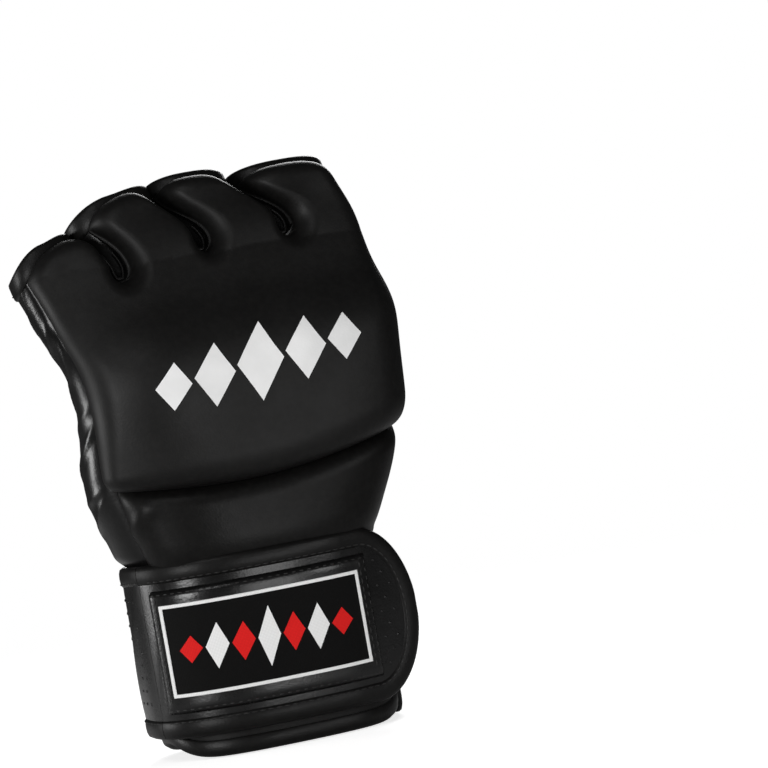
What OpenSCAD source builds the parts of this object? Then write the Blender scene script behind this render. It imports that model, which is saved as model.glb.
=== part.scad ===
// Open-palm grappling and striking glove for the left hand.
// Millimetres, +Z along the fingers, back of the hand towards -Y, thumb side +X.
// The origin is the middle of the cuff's lower edge, where the wrist goes in.

/* [Cuff] */
// Inside width of the cuff
wrist_w = 78; // [66:1:94]
// Inside depth of the cuff
wrist_d = 54; // [46:1:66]
// Height of the cuff
cuff_h = 76; // [66:1:92]
// Height of the binding round the cuff's lower edge
cuff_binding_h = 6; // [4:0.5:9]
// How square the sections are: 2 is an ellipse
oval_power = 2.6; // [2:0.1:3.4]

/* [Hand] */
// Inside width at the crease between the two pads
crease_w = 110; // [96:1:132]
// Inside depth at the crease
crease_d = 51; // [42:1:62]
// Lowest height of the crease above the cuff
crease_up = 28; // [21:1:36]
// How far the crease has climbed at the thumb side
crease_rise = 13; // [6:1:16]
// Inside width at the knuckles
knuckle_w = 117; // [100:1:140]
// Inside depth at the knuckles
knuckle_d = 42; // [34:1:52]
// Height of the knuckles above the cuff
knuckle_up = 74; // [64:1:84]
// Shift of the hand towards the thumb side
hand_shift = 3; // [0:0.5:6]
// Height of the finger roots above the cuff
root_up = 111.5; // [102:0.5:124]
// Top of the palm opening above the cuff
opening_top_up = 88; // [80:1:94]
// Bottom of the palm opening above the cuff
opening_low_up = 16; // [12:1:20]
// Width of the binding along the palm opening
opening_binding_w = 4.5; // [3:0.5:6]

/* [Layers] */
// Thickness of the perforated lining
lining_t = 1.2; // [0.8:0.1:2]
// Thickness of the leather
leather_t = 1.4; // [1:0.1:2.2]
// Thickness of the cuff's foam
cuff_foam_t = 4; // [3:0.5:6]
// Thickness of the knuckle pad's foam
knuckle_foam_t = 17; // [12:0.5:22]
// Thickness of the back-of-hand pad's foam
backhand_foam_t = 9.5; // [7:0.5:12]
// Thickness of the finger pads' foam
lobe_foam_t = 9; // [6:0.5:12]
// Foam thickness left at the pads' sewn edges
edge_foam_t = 2.5; // [1.5:0.5:4]
// Thickness of the side panels and the palm leather
panel_t = 2; // [1.4:0.1:3]
// Clearance between sewn layers
layer_gap = 0.2; // [0.15:0.05:0.3]
// Clearance between pieces that move apart
part_gap = 0.5; // [0.3:0.1:0.8]

/* [Fingers] */
// Outside widths of the sleeves: index, middle, ring and little
finger_w = [35, 32.6, 30, 25.6]; // [20:0.2:42]
// Sleeve lengths from root to hem
finger_l = [33, 34.5, 32.5, 26.5]; // [20:0.5:42]
// Outside depth of the sleeves
finger_d = 27; // [22:0.5:32]
// Space between neighbouring sleeves
finger_gap = 1.3; // [1:0.1:3]
// Lean of the sleeves towards the palm
finger_tilt = 15; // [5:1:22]
// Lean of the little finger away from the others
little_splay = 18; // [8:1:24]
// How much lower the little finger starts
little_drop = 11.5; // [7:0.5:14]
// Outer edge of the index sleeve
index_edge_x = 57.3; // [50:0.5:66]
// Height of the hem at each sleeve's mouth
hem_h = 8; // [5:0.5:10]

/* [Strap] */
// Lower edge of the strap on the palm side
band_z = 1; // [0.5:0.5:4]
// Lower edge of the strap where it closes over the back
flap_z = 10; // [8:0.5:12]
// Height of the strap
strap_h = 66; // [50:1:66]
// How much taller the strap is on the palm side
band_extra = 8; // [0:0.5:9]
// Thickness of the strap's lining
strap_lining_t = 1; // [0.8:0.1:1.6]
// Thickness of the strap's leather and core
strap_cover_t = 1.8; // [1.4:0.1:3]
// Width of the binding along the strap's edges
strap_binding_w = 6.5; // [4:0.5:9]
// How far the tab reaches past the cuff's curve
tab_reach = 30; // [20:1:36]
// Length of the tab's rounded end
tab_round = 22; // [14:1:30]
// Thickness of the loop patch on the cuff
loop_t = 0.8; // [0.6:0.1:1.4]
// Thickness of the hook patch under the flap
hook_t = 0.6; // [0.4:0.1:1.2]
// Width of the hook and loop patches
patch_w = 54; // [36:1:60]

/* [Label] */
// Width of the raised panel
label_panel_w = 86; // [70:1:88]
// Gap between the raised panel and the bindings above and below it
label_panel_margin = 2; // [1:0.5:6]
// Thickness of the raised panel
label_panel_t = 1.8; // [1:0.1:3]
// Width of the woven label
label_w = 78; // [50:1:80]
// Width of the raised panel that shows above and below the woven label
label_margin = 5.75; // [5:0.25:12]
// Thickness of the woven label
label_t = 0.6; // [0.4:0.1:1]
// Width of the label's border
label_border_w = 2; // [1:0.5:4]
// How far the label sits below the strap's middle
label_drop = 1.5; // [0:0.5:3]
// Sideways place of the label's middle
label_x = -5; // [-6:0.5:-4]

/* [Movement] */
// Room to bend the hand towards the palm, in degrees
hand_flex = 20; // [10:1:24]
// Room to curl each finger, in degrees
finger_curl = 25; // [10:1:30]

/* [Hidden] */

// Fingers by number
INDEX = 0;
MIDDLE = 1;
RING = 2;
LITTLE = 3;

// Colours of the leather, lining, foam, trim and label
black = "#1d1b1b";
black_shiny = "#141415";
lining_black = "#262627";
foam_grey = "#4a4a4c";
loop_black = "#202022";
hook_black = "#2b2b2d";
border_white = "#f1f1ee";

// Angles round a section: 0 thumb side, 90 palm, 180 little-finger side, 270 back
thumb_seam_a = 341;
little_seam_a = 204;
palm_thumb_a = 11;
palm_little_a = 150;
seam_a = 0.6;

// Where the strap is sewn down, where its flap hinges and where it leaves the cuff
band_a = 8;
anchor_a = -13;
hinge_a = 197;
leave_a = 300;

// Steps used to draw curves
arc_step = 4;
ring_sides = 72;
sleeve_sides = 36;
far = 300;

// Layer depths outside the cuff's inner face
cuff_foam_s = lining_t + layer_gap;
cuff_cover_s = cuff_foam_s + cuff_foam_t + layer_gap;
cuff_out = cuff_cover_s + leather_t;
loop_s = cuff_out + layer_gap;
hook_s = loop_s + loop_t + layer_gap;
flap_lining_s = hook_s + hook_t + layer_gap;
flap_cover_s = flap_lining_s + strap_lining_t + layer_gap;
strap_out = flap_cover_s + strap_cover_t;
binding_proud = 0.4;
label_panel_s = strap_out + layer_gap;
label_s = label_panel_s + label_panel_t + layer_gap;

// Heights up the hand, from the top of the cuff
crease_z = cuff_h + crease_up;
knuckle_z = cuff_h + knuckle_up;
root_z = cuff_h + root_up;
opening_top_z = cuff_h + opening_top_up;
opening_low_z = cuff_h + opening_low_up;

// Heights of the raised panel and the label, from the strap's bindings
label_panel_h = strap_h - 2 * (strap_binding_w + label_panel_margin);
label_h = label_panel_h - 2 * label_margin;

// Heights of the strap and its label
flap_mid = flap_z + strap_h / 2;
band_top = band_z + strap_h + band_extra;
label_z = flap_mid - label_drop;

// Sleeve centres, from the index finger's outer edge towards the little finger
index_x = index_edge_x - finger_w[INDEX] / 2;
middle_x = index_x - (finger_w[INDEX] + finger_w[MIDDLE]) / 2 - finger_gap;
ring_x = middle_x - (finger_w[MIDDLE] + finger_w[RING]) / 2 - finger_gap;
little_half = finger_w[LITTLE] / 2 * cos(little_splay);
little_x = ring_x - finger_w[RING] / 2 - finger_gap - little_half;
finger_x = [index_x, middle_x, ring_x, little_x];
root_y = 1;
root_heights = [root_z, root_z, root_z, root_z - little_drop];
splay = [0, 0, 0, little_splay];
sleeve_t = 1.6;
root_gap = 0.2;
curl_spare = 2.5;

// Hand section at the roots, taken from the row of sleeves, and its flare above the cuff
row_left = little_x - little_half;
row_in = 3;
wrist_flare = 4;
row_mid = (index_edge_x + row_left) / 2;
row_half = (index_edge_x - row_left) / 2 - row_in;

crease_station_z = crease_z + 4;

// Stations up the hand: height, middle x, middle y, half width, depth to back, depth to palm
STATIONS = [
    [cuff_h, 0, 0, wrist_w / 2 + wrist_flare, wrist_d / 2, wrist_d / 2],
    [crease_station_z, hand_shift, -1, crease_w / 2, crease_d / 2, crease_d / 2],
    [knuckle_z, hand_shift, -3, knuckle_w / 2, knuckle_d / 2, knuckle_d / 2],
    [root_z, row_mid, 0, row_half, finger_d / 2, finger_d / 2]
];
LAST = len(STATIONS) - 1;

// Hinge of the hand: above the crease, level with the lining of the back
flex_z = crease_z + crease_rise + 0.5;
flex_y = -1 - crease_d / 2;
crease_mid = -8;
crease_span = 72;

// Curve of the palm opening's upper edge and how far its binding stands out
opening_bow = 0.004;
opening_mid = -18;
welt_in = 0.6;
welt_out = 0.8;

// Sections and curves
function spow(v, e) = sign(v) * pow(abs(v), e);

// Point on an oval of half sizes rx and ry at angle a, moved out by t along the normal
function oval(a, rx, ry, t) =
    let (
        c = cos(a),
        s = sin(a),
        e = 2 / oval_power,
        n = [spow(c, 2 - e) / rx, spow(s, 2 - e) / ry]
    )
    [rx * spow(c, e), ry * spow(s, e)] + t * n / norm(n);

function cuff_point(a, t) = oval(a, wrist_w / 2, wrist_d / 2, t);

// Slope of a station column, from its neighbours
function slope(i, k) =
    let (
        lo = max(i - 1, 0),
        hi = min(i + 1, LAST)
    )
    (STATIONS[hi][k] - STATIONS[lo][k]) / (STATIONS[hi][0] - STATIONS[lo][0]);

// Smooth value of station column k at height z
function station(z, k) =
    let (
        i = z < STATIONS[1][0] ? 0 : z < STATIONS[2][0] ? 1 : 2,
        span = STATIONS[i + 1][0] - STATIONS[i][0],
        u = min(max((z - STATIONS[i][0]) / span, 0), 1)
    )
    (2 * pow(u, 3) - 3 * u * u + 1) * STATIONS[i][k]
    + (pow(u, 3) - 2 * u * u + u) * span * slope(i, k)
    + (3 * u * u - 2 * pow(u, 3)) * STATIONS[i + 1][k]
    + (pow(u, 3) - u * u) * span * slope(i + 1, k);

// Point on the hand at height z and angle a, t outside the lining's inner face
function hand_point(z, a, t) =
    let (
        depth = sin(a) < 0 ? station(z, 4) : station(z, 5),
        p = oval(a, station(z, 3), depth, t)
    )
    [station(z, 1) + p.x, station(z, 2) + p.y, z];

// Depth of the hand's inner face at sideways place x
function hand_depth(x, z, k) =
    let (r = min(abs(x - station(z, 1)) / station(z, 3), 1))
    station(z, k) * pow(1 - pow(r, oval_power), 1 / oval_power);

// Height of the crease at sideways place x
function crease(x) = crease_z + crease_rise * pow((x - crease_mid) / crease_span, 2);
function crease_at(a) = min(crease(hand_point(crease_station_z, a, 0).x), flex_z - 0.5);

// Lower limit of what bends with the hand: a wedge opens towards the palm
function bend_limit(a) =
    let (y = hand_point(crease_at(a), a, 0).y)
    crease_at(a) + part_gap + max(0, y - flex_y) * tan(hand_flex);

// The same wedge for the side panels, from the hinge's height
function side_limit(a) =
    let (y = hand_point(flex_z, a, 0).y)
    flex_z + part_gap + max(0, y - flex_y) * tan(hand_flex);

// Height of the sleeves' root plane over place x, falling towards the palm
function root_line(x) =
    lookup(x, [
        [little_x - little_half, root_heights[LITTLE] - little_half * tan(little_splay)],
        [little_x + little_half, root_heights[LITTLE] + little_half * tan(little_splay)],
        [ring_x, root_z]
    ]);
function root_limit(a) =
    let (p = hand_point(root_z - 4, a, 0))
    root_line(p.x) - (p.y - root_y) * tan(finger_tilt) - root_gap;

// Edges of the palm opening
function opening_top(a) =
    let (p = hand_point(opening_top_z, a, 0))
    opening_top_z - opening_bow * pow(p.x - opening_mid, 2);

// Foam thickness over a pad: full in the middle, thin along the sewn edges
function dome(u, power) = pow(1 - pow(abs(2 * u - 1), power), 0.5);
function pad_t(u, v, full) = edge_foam_t + (full - edge_foam_t) * dome(u, 4) * dome(v, 5);

// Closed slab between two grids of points, inside(u, v) and outside(u, v)
module slab(inside, outside, nu, nv) {
    w = nu + 1;
    n = w * (nv + 1);
    function id(side, j, i) = side * n + j * w + i;
    function quad(a, b, c, d) = [[a, b, c], [a, c, d]];
    points = [for (f = [inside, outside], j = [0 : nv], i = [0 : nu]) f(i / nu, j / nv)];
    skins = [for (j = [0 : nv - 1], i = [0 : nu - 1]) each concat(
        quad(id(1, j, i), id(1, j + 1, i), id(1, j + 1, i + 1), id(1, j, i + 1)),
        [[id(0, j, i), id(0, j + 1, i + 1), id(0, j + 1, i)],
         [id(0, j, i), id(0, j, i + 1), id(0, j + 1, i + 1)]]
    )];
    lows = [for (i = [0 : nu - 1]) each concat(
        quad(id(1, 0, i), id(1, 0, i + 1), id(0, 0, i + 1), id(0, 0, i)),
        quad(id(1, nv, i + 1), id(1, nv, i), id(0, nv, i), id(0, nv, i + 1))
    )];
    sides = [for (j = [0 : nv - 1]) each concat(
        quad(id(1, j + 1, 0), id(1, j, 0), id(0, j, 0), id(0, j + 1, 0)),
        quad(id(1, j, nu), id(1, j + 1, nu), id(0, j + 1, nu), id(0, j, nu))
    )];
    polyhedron(points, concat(skins, lows, sides));
}

// Panel of the hand between two angles, two height limits and two layer depths
module hand_panel(a0, a1, low, high, depth_in, depth_out, nu, nv) {
    angle = function (u) a0 + (a1 - a0) * u;
    height = function (u, v) low(angle(u)) + (high(angle(u)) - low(angle(u))) * v;
    slab(
        function (u, v) hand_point(height(u, v), angle(u), depth_in(u, v)),
        function (u, v) hand_point(height(u, v), angle(u), depth_out(u, v)),
        nu, nv
    );
}

// Layer of constant depth
function flat(t) = function (u, v) t;
function level(z) = function (a) z;

// Closed ring of the cuff between two depths and two heights
module cuff_ring(t0, t1, z0, z1) {
    angles = [for (i = [0 : ring_sides - 1]) 360 * i / ring_sides];
    translate([0, 0, z0])
        linear_extrude(z1 - z0)
            difference() {
                polygon([for (a = angles) cuff_point(a, t1)]);
                polygon([for (a = angles) cuff_point(a, t0)]);
            }
}

// Strap line: round the cuff, then straight on past leave_a, one millimetre for each unit
function strap_point(a, t) =
    a <= leave_a ? cuff_point(a, t) :
    let (
        p = cuff_point(leave_a, t),
        q = cuff_point(leave_a - 0.5, t),
        d = (p - q) / norm(p - q)
    )
    p + (a - leave_a) * d;

// Upright strip along the strap line between two depths
module strap_strip(a0, a1, t0, t1, z0, z1) {
    n = ceil((a1 - a0) / arc_step);
    line = [for (i = [0 : n]) a0 + (a1 - a0) * i / n];
    back = [for (i = [n : -1 : 0]) line[i]];
    translate([0, 0, z0])
        linear_extrude(z1 - z0)
            polygon(concat(
                [for (a = line) strap_point(a, t1)],
                [for (a = back) strap_point(a, t0)]
            ));
}

// Outline of the closing flap with its rounded tab, seen from the back and drawn in by inset
module flap_outline(inset) {
    tip = strap_point(leave_a + tab_reach, strap_out).x;
    mid_x = tip - tab_round;
    rx = tab_round - inset;
    rz = strap_h / 2 - inset;
    end = [for (q = [-90 : 10 : 90]) [mid_x + rx * cos(q), flap_mid + rz * sin(q)]];
    polygon(concat([[-far, flap_mid - rz]], end, [[-far, flap_mid + rz]]));
}

// Upright prism over an outline drawn in x and z
module through_y() {
    translate([0, far, 0])
        rotate([90, 0, 0])
            linear_extrude(2 * far)
                children();
}

// Strap layer cut to the flap's outline
module flap_layer(t0, t1, inset) {
    intersection() {
        strap_strip(hinge_a + seam_a, leave_a + tab_reach, t0, t1, 0, far / 2);
        through_y() flap_outline(inset);
    }
}

// Strap layer cut to a rectangle in x and z
module flap_patch(t0, t1, mid_x, mid_z, w, h) {
    intersection() {
        strap_strip(hinge_a + seam_a, leave_a + tab_reach, t0, t1, 0, far / 2);
        through_y() translate([mid_x, mid_z]) square([w, h], center = true);
    }
}

// Cuff
module cuff_lining() {
    color(lining_black) cuff_ring(0, lining_t, cuff_binding_h + layer_gap, cuff_h);
}

module cuff_foam() {
    color(foam_grey)
        cuff_ring(cuff_foam_s, cuff_foam_s + cuff_foam_t, cuff_binding_h + layer_gap, cuff_h);
}

module cuff_cover() {
    color(black) cuff_ring(cuff_cover_s, cuff_out, cuff_binding_h + layer_gap, cuff_h);
}

module cuff_binding() {
    color(black) cuff_ring(0, cuff_out, 0, cuff_binding_h);
}

module loop_patch() {
    color(loop_black)
        flap_patch(loop_s, loop_s + loop_t, label_x, flap_mid, patch_w, strap_h - 3 * strap_binding_w);
}

// Fixed part of the strap
module strap_band() {
    color(black_shiny)
        strap_strip(band_a, hinge_a, flap_cover_s, strap_out,
            band_z + strap_binding_w, band_top - strap_binding_w);
}

module strap_band_lining() {
    color(lining_black)
        strap_strip(band_a, hinge_a, loop_s, flap_cover_s - layer_gap,
            band_z + strap_binding_w, band_top - strap_binding_w);
}

module strap_band_binding() {
    color(black)
        for (z = [band_z, band_top - strap_binding_w + layer_gap])
            strap_strip(band_a, hinge_a, loop_s, strap_out + binding_proud,
                z, z + strap_binding_w - layer_gap);
}

module strap_anchor() {
    color(black_shiny)
        strap_strip(anchor_a, band_a - seam_a, loop_s, flap_cover_s - layer_gap,
            band_z + strap_binding_w, band_top - strap_binding_w);
}

// Heel of the palm and the back-of-hand pad
module heel_panel() {
    color(black_shiny)
        hand_panel(palm_thumb_a + seam_a, palm_little_a - seam_a,
            level(cuff_h + layer_gap), level(opening_low_z - opening_binding_w),
            flat(0), flat(panel_t), 16, 3);
}

module heel_binding() {
    color(black)
        hand_panel(palm_thumb_a + seam_a, palm_little_a - seam_a,
            level(opening_low_z - opening_binding_w + layer_gap), level(opening_low_z),
            flat(-welt_in), flat(panel_t + welt_out), 16, 2);
}

module backhand_layer(depth_in, depth_out) {
    hand_panel(little_seam_a + seam_a, thumb_seam_a - seam_a,
        level(cuff_h + layer_gap), function (a) crease_at(a), depth_in, depth_out, 20, 6);
}

module backhand_lining() {
    color(lining_black) backhand_layer(flat(0), flat(lining_t));
}

module backhand_foam() {
    color(foam_grey)
        backhand_layer(
            flat(lining_t + layer_gap),
            function (u, v) lining_t + layer_gap + pad_t(u, v, backhand_foam_t)
        );
}

module backhand_cover() {
    under = lining_t + 2 * layer_gap;
    color(black)
        backhand_layer(
            function (u, v) under + pad_t(u, v, backhand_foam_t),
            function (u, v) under + pad_t(u, v, backhand_foam_t) + leather_t
        );
}

module little_side_lower() {
    color(black_shiny)
        hand_panel(palm_little_a, little_seam_a, level(cuff_h + layer_gap),
            level(crease_z), flat(0), flat(panel_t), 8, 4);
}

module thumb_side_lower() {
    color(black)
        hand_panel(thumb_seam_a, 360 + palm_thumb_a, level(cuff_h + layer_gap),
            level(crease_z), flat(0), flat(panel_t), 6, 4);
}

// Closing flap
module flap_cover() {
    color(black_shiny) flap_layer(flap_cover_s, strap_out, strap_binding_w);
}

module flap_lining() {
    color(lining_black)
        flap_layer(flap_lining_s, flap_cover_s - layer_gap, strap_binding_w);
}

module flap_binding() {
    color(black)
        intersection() {
            strap_strip(hinge_a + seam_a, leave_a + tab_reach,
                flap_lining_s, strap_out + binding_proud, 0, far / 2);
            through_y()
                difference() {
                    flap_outline(0);
                    flap_outline(strap_binding_w - layer_gap);
                }
        }
}

module hook_patch() {
    color(hook_black)
        flap_patch(hook_s, hook_s + hook_t, label_x, flap_mid,
            patch_w - 4, strap_h - 3 * strap_binding_w);
}

module label_panel() {
    color(black_shiny)
        flap_patch(label_panel_s, label_panel_s + label_panel_t, label_x, flap_mid,
            label_panel_w, label_panel_h);
}

module label_patch() {
    color(black)
        flap_patch(label_s, label_s + label_t, label_x, label_z,
            label_w - 2 * label_border_w - layer_gap, label_h - 2 * label_border_w - layer_gap);
}

module label_border() {
    color(border_white)
        difference() {
            flap_patch(label_s, label_s + label_t, label_x, label_z, label_w, label_h);
            flap_patch(label_s - 1, label_s + label_t + 1, label_x, label_z,
                label_w - 2 * label_border_w, label_h - 2 * label_border_w);
        }
}

// Knuckle pad and palm
module hand_layer(depth_in, depth_out) {
    hand_panel(little_seam_a + seam_a, thumb_seam_a - seam_a,
        function (a) bend_limit(a), function (a) root_limit(a), depth_in, depth_out, 24, 10);
}

module hand_lining() {
    color(lining_black) hand_layer(flat(0), flat(lining_t));
}

module knuckle_foam() {
    color(foam_grey)
        hand_layer(
            flat(lining_t + layer_gap),
            function (u, v) lining_t + layer_gap + pad_t(u, v, knuckle_foam_t)
        );
}

module knuckle_cover() {
    under = lining_t + 2 * layer_gap;
    color(black)
        hand_layer(
            function (u, v) under + pad_t(u, v, knuckle_foam_t),
            function (u, v) under + pad_t(u, v, knuckle_foam_t) + leather_t
        );
}

module palm_panel() {
    color(black_shiny)
        hand_panel(palm_thumb_a + seam_a, palm_little_a - seam_a,
            function (a) opening_top(a) + opening_binding_w, function (a) root_limit(a),
            flat(0), flat(panel_t), 20, 4);
}

module palm_binding() {
    color(black)
        hand_panel(palm_thumb_a + seam_a, palm_little_a - seam_a,
            function (a) opening_top(a), function (a) opening_top(a) + opening_binding_w - layer_gap,
            flat(-welt_in), flat(panel_t + welt_out), 20, 2);
}

module little_side_upper() {
    color(black_shiny)
        hand_panel(palm_little_a, little_seam_a, function (a) side_limit(a),
            function (a) root_limit(a), flat(0), flat(panel_t), 8, 5);
}

module thumb_side_upper() {
    color(black)
        hand_panel(thumb_seam_a, 360 + palm_thumb_a, function (a) side_limit(a),
            function (a) root_limit(a), flat(0), flat(panel_t), 6, 5);
}

// Webs between the finger roots, from the lining to the palm leather
web_h = 12;
web_t = 3;
module web(x) {
    low = root_line(x) - web_h;
    y0 = station(low + web_h, 2) - hand_depth(x, low + web_h, 4) + part_gap + root_gap;
    y1 = station(low + web_h, 2) + hand_depth(x, low + web_h, 5) - part_gap;
    top0 = low + web_h - (y0 - root_y) * tan(finger_tilt) - part_gap - 1;
    top1 = low + web_h - (y1 - root_y) * tan(finger_tilt) - part_gap - 1;
    translate([x - web_t / 2, 0, 0])
        rotate([90, 0, 90])
            linear_extrude(web_t)
                polygon([[y0, low], [y1, low], [y1, top1], [y0, top0]]);
}

module finger_webs() {
    color(black)
        for (i = [INDEX : RING])
            web((finger_x[i] - finger_w[i] / 2) - finger_gap / 2);
}

// Fingers: each is drawn upright at its root and leaned into place
module finger_place(i) {
    translate([finger_x[i], root_y, root_heights[i]])
        rotate([0, -splay[i], 0])
            rotate([-finger_tilt, 0, 0])
                children();
}

// Room under a sleeve on the palm side, so that it can curl
module curl_room() {
    translate([0, 0, -far])
        linear_extrude(far + part_gap / 2)
            square(2 * far, center = true);
    rotate([finger_curl + curl_spare, 0, 0])
        translate([-far, 0, -far])
            cube([2 * far, far, far]);
}

module sleeve_ring(i, z0, z1) {
    angles = [for (k = [0 : sleeve_sides - 1]) 360 * k / sleeve_sides];
    half_w = finger_w[i] / 2;
    half_d = finger_d / 2;
    translate([0, 0, z0])
        linear_extrude(z1 - z0)
            difference() {
                polygon([for (a = angles) oval(a, half_w, half_d, 0)]);
                polygon([for (a = angles) oval(a, half_w, half_d, -sleeve_t)]);
            }
}

module sleeve(i) {
    color(black_shiny)
        finger_place(i)
            difference() {
                sleeve_ring(i, 0, finger_l[i] - hem_h);
                curl_room();
            }
}

module hem(i) {
    color(black)
        finger_place(i) sleeve_ring(i, finger_l[i] - hem_h + layer_gap, finger_l[i]);
}

lobe_a0 = 188;
lobe_a1 = 352;
lobe_short = 4;
module lobe_layer(i, depth_in, depth_out) {
    low = part_gap;
    high = finger_l[i] - lobe_short;
    angle = function (u) lobe_a0 + (lobe_a1 - lobe_a0) * u;
    face = function (u, v, t)
        let (p = oval(angle(u), finger_w[i] / 2, finger_d / 2, 0) + [0, -t])
        [p.x, p.y, low + (high - low) * v];
    finger_place(i)
        slab(
            function (u, v) face(u, v, depth_in(u, v)),
            function (u, v) face(u, v, depth_out(u, v)),
            12, 6
        );
}

// Finger pads keep their thickness at the root and thin out to the hem and the sides
function lobe_t(u, v) =
    edge_foam_t + (lobe_foam_t - edge_foam_t) * dome(u, 4) * pow(1 - pow(v, 4), 0.5);

module lobe_foam(i) {
    color(foam_grey)
        lobe_layer(i, flat(2 * layer_gap), function (u, v) 2 * layer_gap + lobe_t(u, v));
}

module lobe_cover(i) {
    color(black)
        lobe_layer(i,
            function (u, v) 3 * layer_gap + lobe_t(u, v),
            function (u, v) 3 * layer_gap + lobe_t(u, v) + leather_t);
}

cuff_lining();
cuff_foam();
cuff_cover();
cuff_binding();
loop_patch();
strap_band();
strap_band_lining();
strap_band_binding();
strap_anchor();
heel_panel();
heel_binding();
backhand_lining();
backhand_foam();
backhand_cover();
little_side_lower();
thumb_side_lower();
flap_cover();
flap_lining();
flap_binding();
hook_patch();
label_panel();
label_patch();
label_border();
hand_lining();
knuckle_foam();
knuckle_cover();
palm_panel();
palm_binding();
little_side_upper();
thumb_side_upper();
finger_webs();
sleeve(INDEX);  // index_sleeve
hem(INDEX);  // index_hem
lobe_foam(INDEX);  // index_lobe_foam
lobe_cover(INDEX);  // index_lobe_cover
sleeve(MIDDLE);  // middle_sleeve
hem(MIDDLE);  // middle_hem
lobe_foam(MIDDLE);  // middle_lobe_foam
lobe_cover(MIDDLE);  // middle_lobe_cover
sleeve(RING);  // ring_sleeve
hem(RING);  // ring_hem
lobe_foam(RING);  // ring_lobe_foam
lobe_cover(RING);  // ring_lobe_cover
sleeve(LITTLE);  // little_sleeve
hem(LITTLE);  // little_hem
lobe_foam(LITTLE);  // little_lobe_foam
lobe_cover(LITTLE);  // little_lobe_cover
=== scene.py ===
import math

import bpy
import numpy as np
from mathutils import Matrix


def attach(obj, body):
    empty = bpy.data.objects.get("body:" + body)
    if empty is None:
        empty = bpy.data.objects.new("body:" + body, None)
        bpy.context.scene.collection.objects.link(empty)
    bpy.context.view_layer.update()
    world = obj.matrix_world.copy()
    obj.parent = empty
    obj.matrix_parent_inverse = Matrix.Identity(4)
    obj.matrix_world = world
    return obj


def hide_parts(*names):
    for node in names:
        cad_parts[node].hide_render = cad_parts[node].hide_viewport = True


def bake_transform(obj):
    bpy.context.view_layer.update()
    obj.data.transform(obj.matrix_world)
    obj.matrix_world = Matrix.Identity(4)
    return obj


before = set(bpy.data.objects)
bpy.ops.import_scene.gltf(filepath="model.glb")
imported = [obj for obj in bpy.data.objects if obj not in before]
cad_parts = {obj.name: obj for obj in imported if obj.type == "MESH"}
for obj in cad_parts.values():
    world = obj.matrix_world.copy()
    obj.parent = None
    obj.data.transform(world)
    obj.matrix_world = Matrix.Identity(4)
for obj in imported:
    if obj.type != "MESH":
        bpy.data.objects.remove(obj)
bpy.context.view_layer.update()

bl_info = {
    "name": "Grappling glove",
    "version": (1, 0, 0),
    "blender": (4, 5, 0),
    "location": "View3D > Sidebar > Glove",
    "description": "Builds the padded glove's leather, linings, trim and stage around the packed frame",
    "category": "Object",
}

# Lengths are millimetres, and meshes are written in metres. x runs to the thumb, y to the palm, z to the
# fingers; s is the length up the hand before the fingers lean, and n the depth from their centre line.
MM = 0.001
POWER = 2.6
INDEX, MIDDLE, RING, LITTLE = range(4)
FINGERS = ("index", "middle", "ring", "little")
BACK_SIDE, PALM_SIDE = -1.0, 1.0

# Small shapes: a stitch's length, width and height, radius and height of perforations and of embossed dots,
# the distance of their rows as a share of their pitch, and the angles of a ring of six
STITCH, HOLE, DOT = (2.3, 0.62, 0.5), (0.62, 0.28), (0.72, 0.35)
ROW_PITCH = 0.866
SIXTHS = np.arange(6) * math.pi / 3.0

# Wrist and hand sections: height, middle x, middle y, half width, half depth
WRIST_HALF = (39.0, 27.0)
ROOT_S, ROOT_Y = 187.5, 1.0
STATIONS = np.array([
    [76.0, 0.0, 0.0, 43.0, 27.0],
    [108.0, 3.0, -1.0, 55.0, 25.5],
    [150.0, 3.0, -3.0, 58.5, 21.0],
    [ROOT_S, -5.62, 0.0, 59.92, 13.5],
])
LINING_OUT, LINING_FACES = 1.5, (1.2, 0.2)
CUFF_TOP, CUFF_FACE, CUFF_PUFF, CUFF_BACK, CUFF_LINING = 77.0, 6.4, 0.6, 1.3, (1.2, 0.1)
UNDER_STRAP_S = 71.0

# Crease between the two back pads
CREASE_X, CREASE_S, CREASE_RISE, CREASE_REACH = -8.0, 104.0, 13.0, 72.0

# Lean of the fingers towards the palm, from BEND_REACH below the root to as far above it
TILT, BEND_REACH = math.radians(15.0), 14.0
LITTLE_ROOT_DROP = 11.5
SPLIT_S = 172.0

# Sleeves from index to little: middle x and half width at root and hem, start of their lean, and their hems
ROOT_MID = np.array([44.6, 11.8, -24.4, -56.0])
ROOT_HALF = np.array([17.2, 16.8, 17.5, 14.0])
TOP_MID = np.array([37.2, 0.8, -32.3, -61.9])
TOP_HALF = np.array([19.4, 15.8, 18.6, 13.4])
LEAN_S, LEAN_REACH = np.array([186.0, 186.0, 186.0, 172.0]), 34.0
HEM_S = np.array([221.0, 222.0, 220.5, 206.5])
HEM_DROP_LEFT = np.array([2.0, 1.5, 11.0, 12.5])
HEM_DROP_RIGHT = np.array([1.2, 1.5, 0.5, 0.0])
HEM_POWERS = (1.7, 2.2)
LOBE_BELOW, LOBE_ARCH, LOBE_LEFT, LOBE_WIDE = 3.2, 4.0, 0.1, 0.84
HALF_DEPTH = 13.5
SLEEVE_FACES, SLEEVE_LOW = (-0.2, -1.6), (187.0, 187.0, 186.0, 182.0)
HEM_STITCH = 5.8

# Grooves on the back, between each finger and the next
GROOVE_S = np.array([190.0, 189.0, 184.0])
GROOVE_R, GROOVE_LEAN = 3.6, 23.0
GROOVE_LOW_X = np.array([31.0, -2.4, -36.0])
GROOVE_TOP_X = np.array([14.2, -17.5, -48.5])

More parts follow.
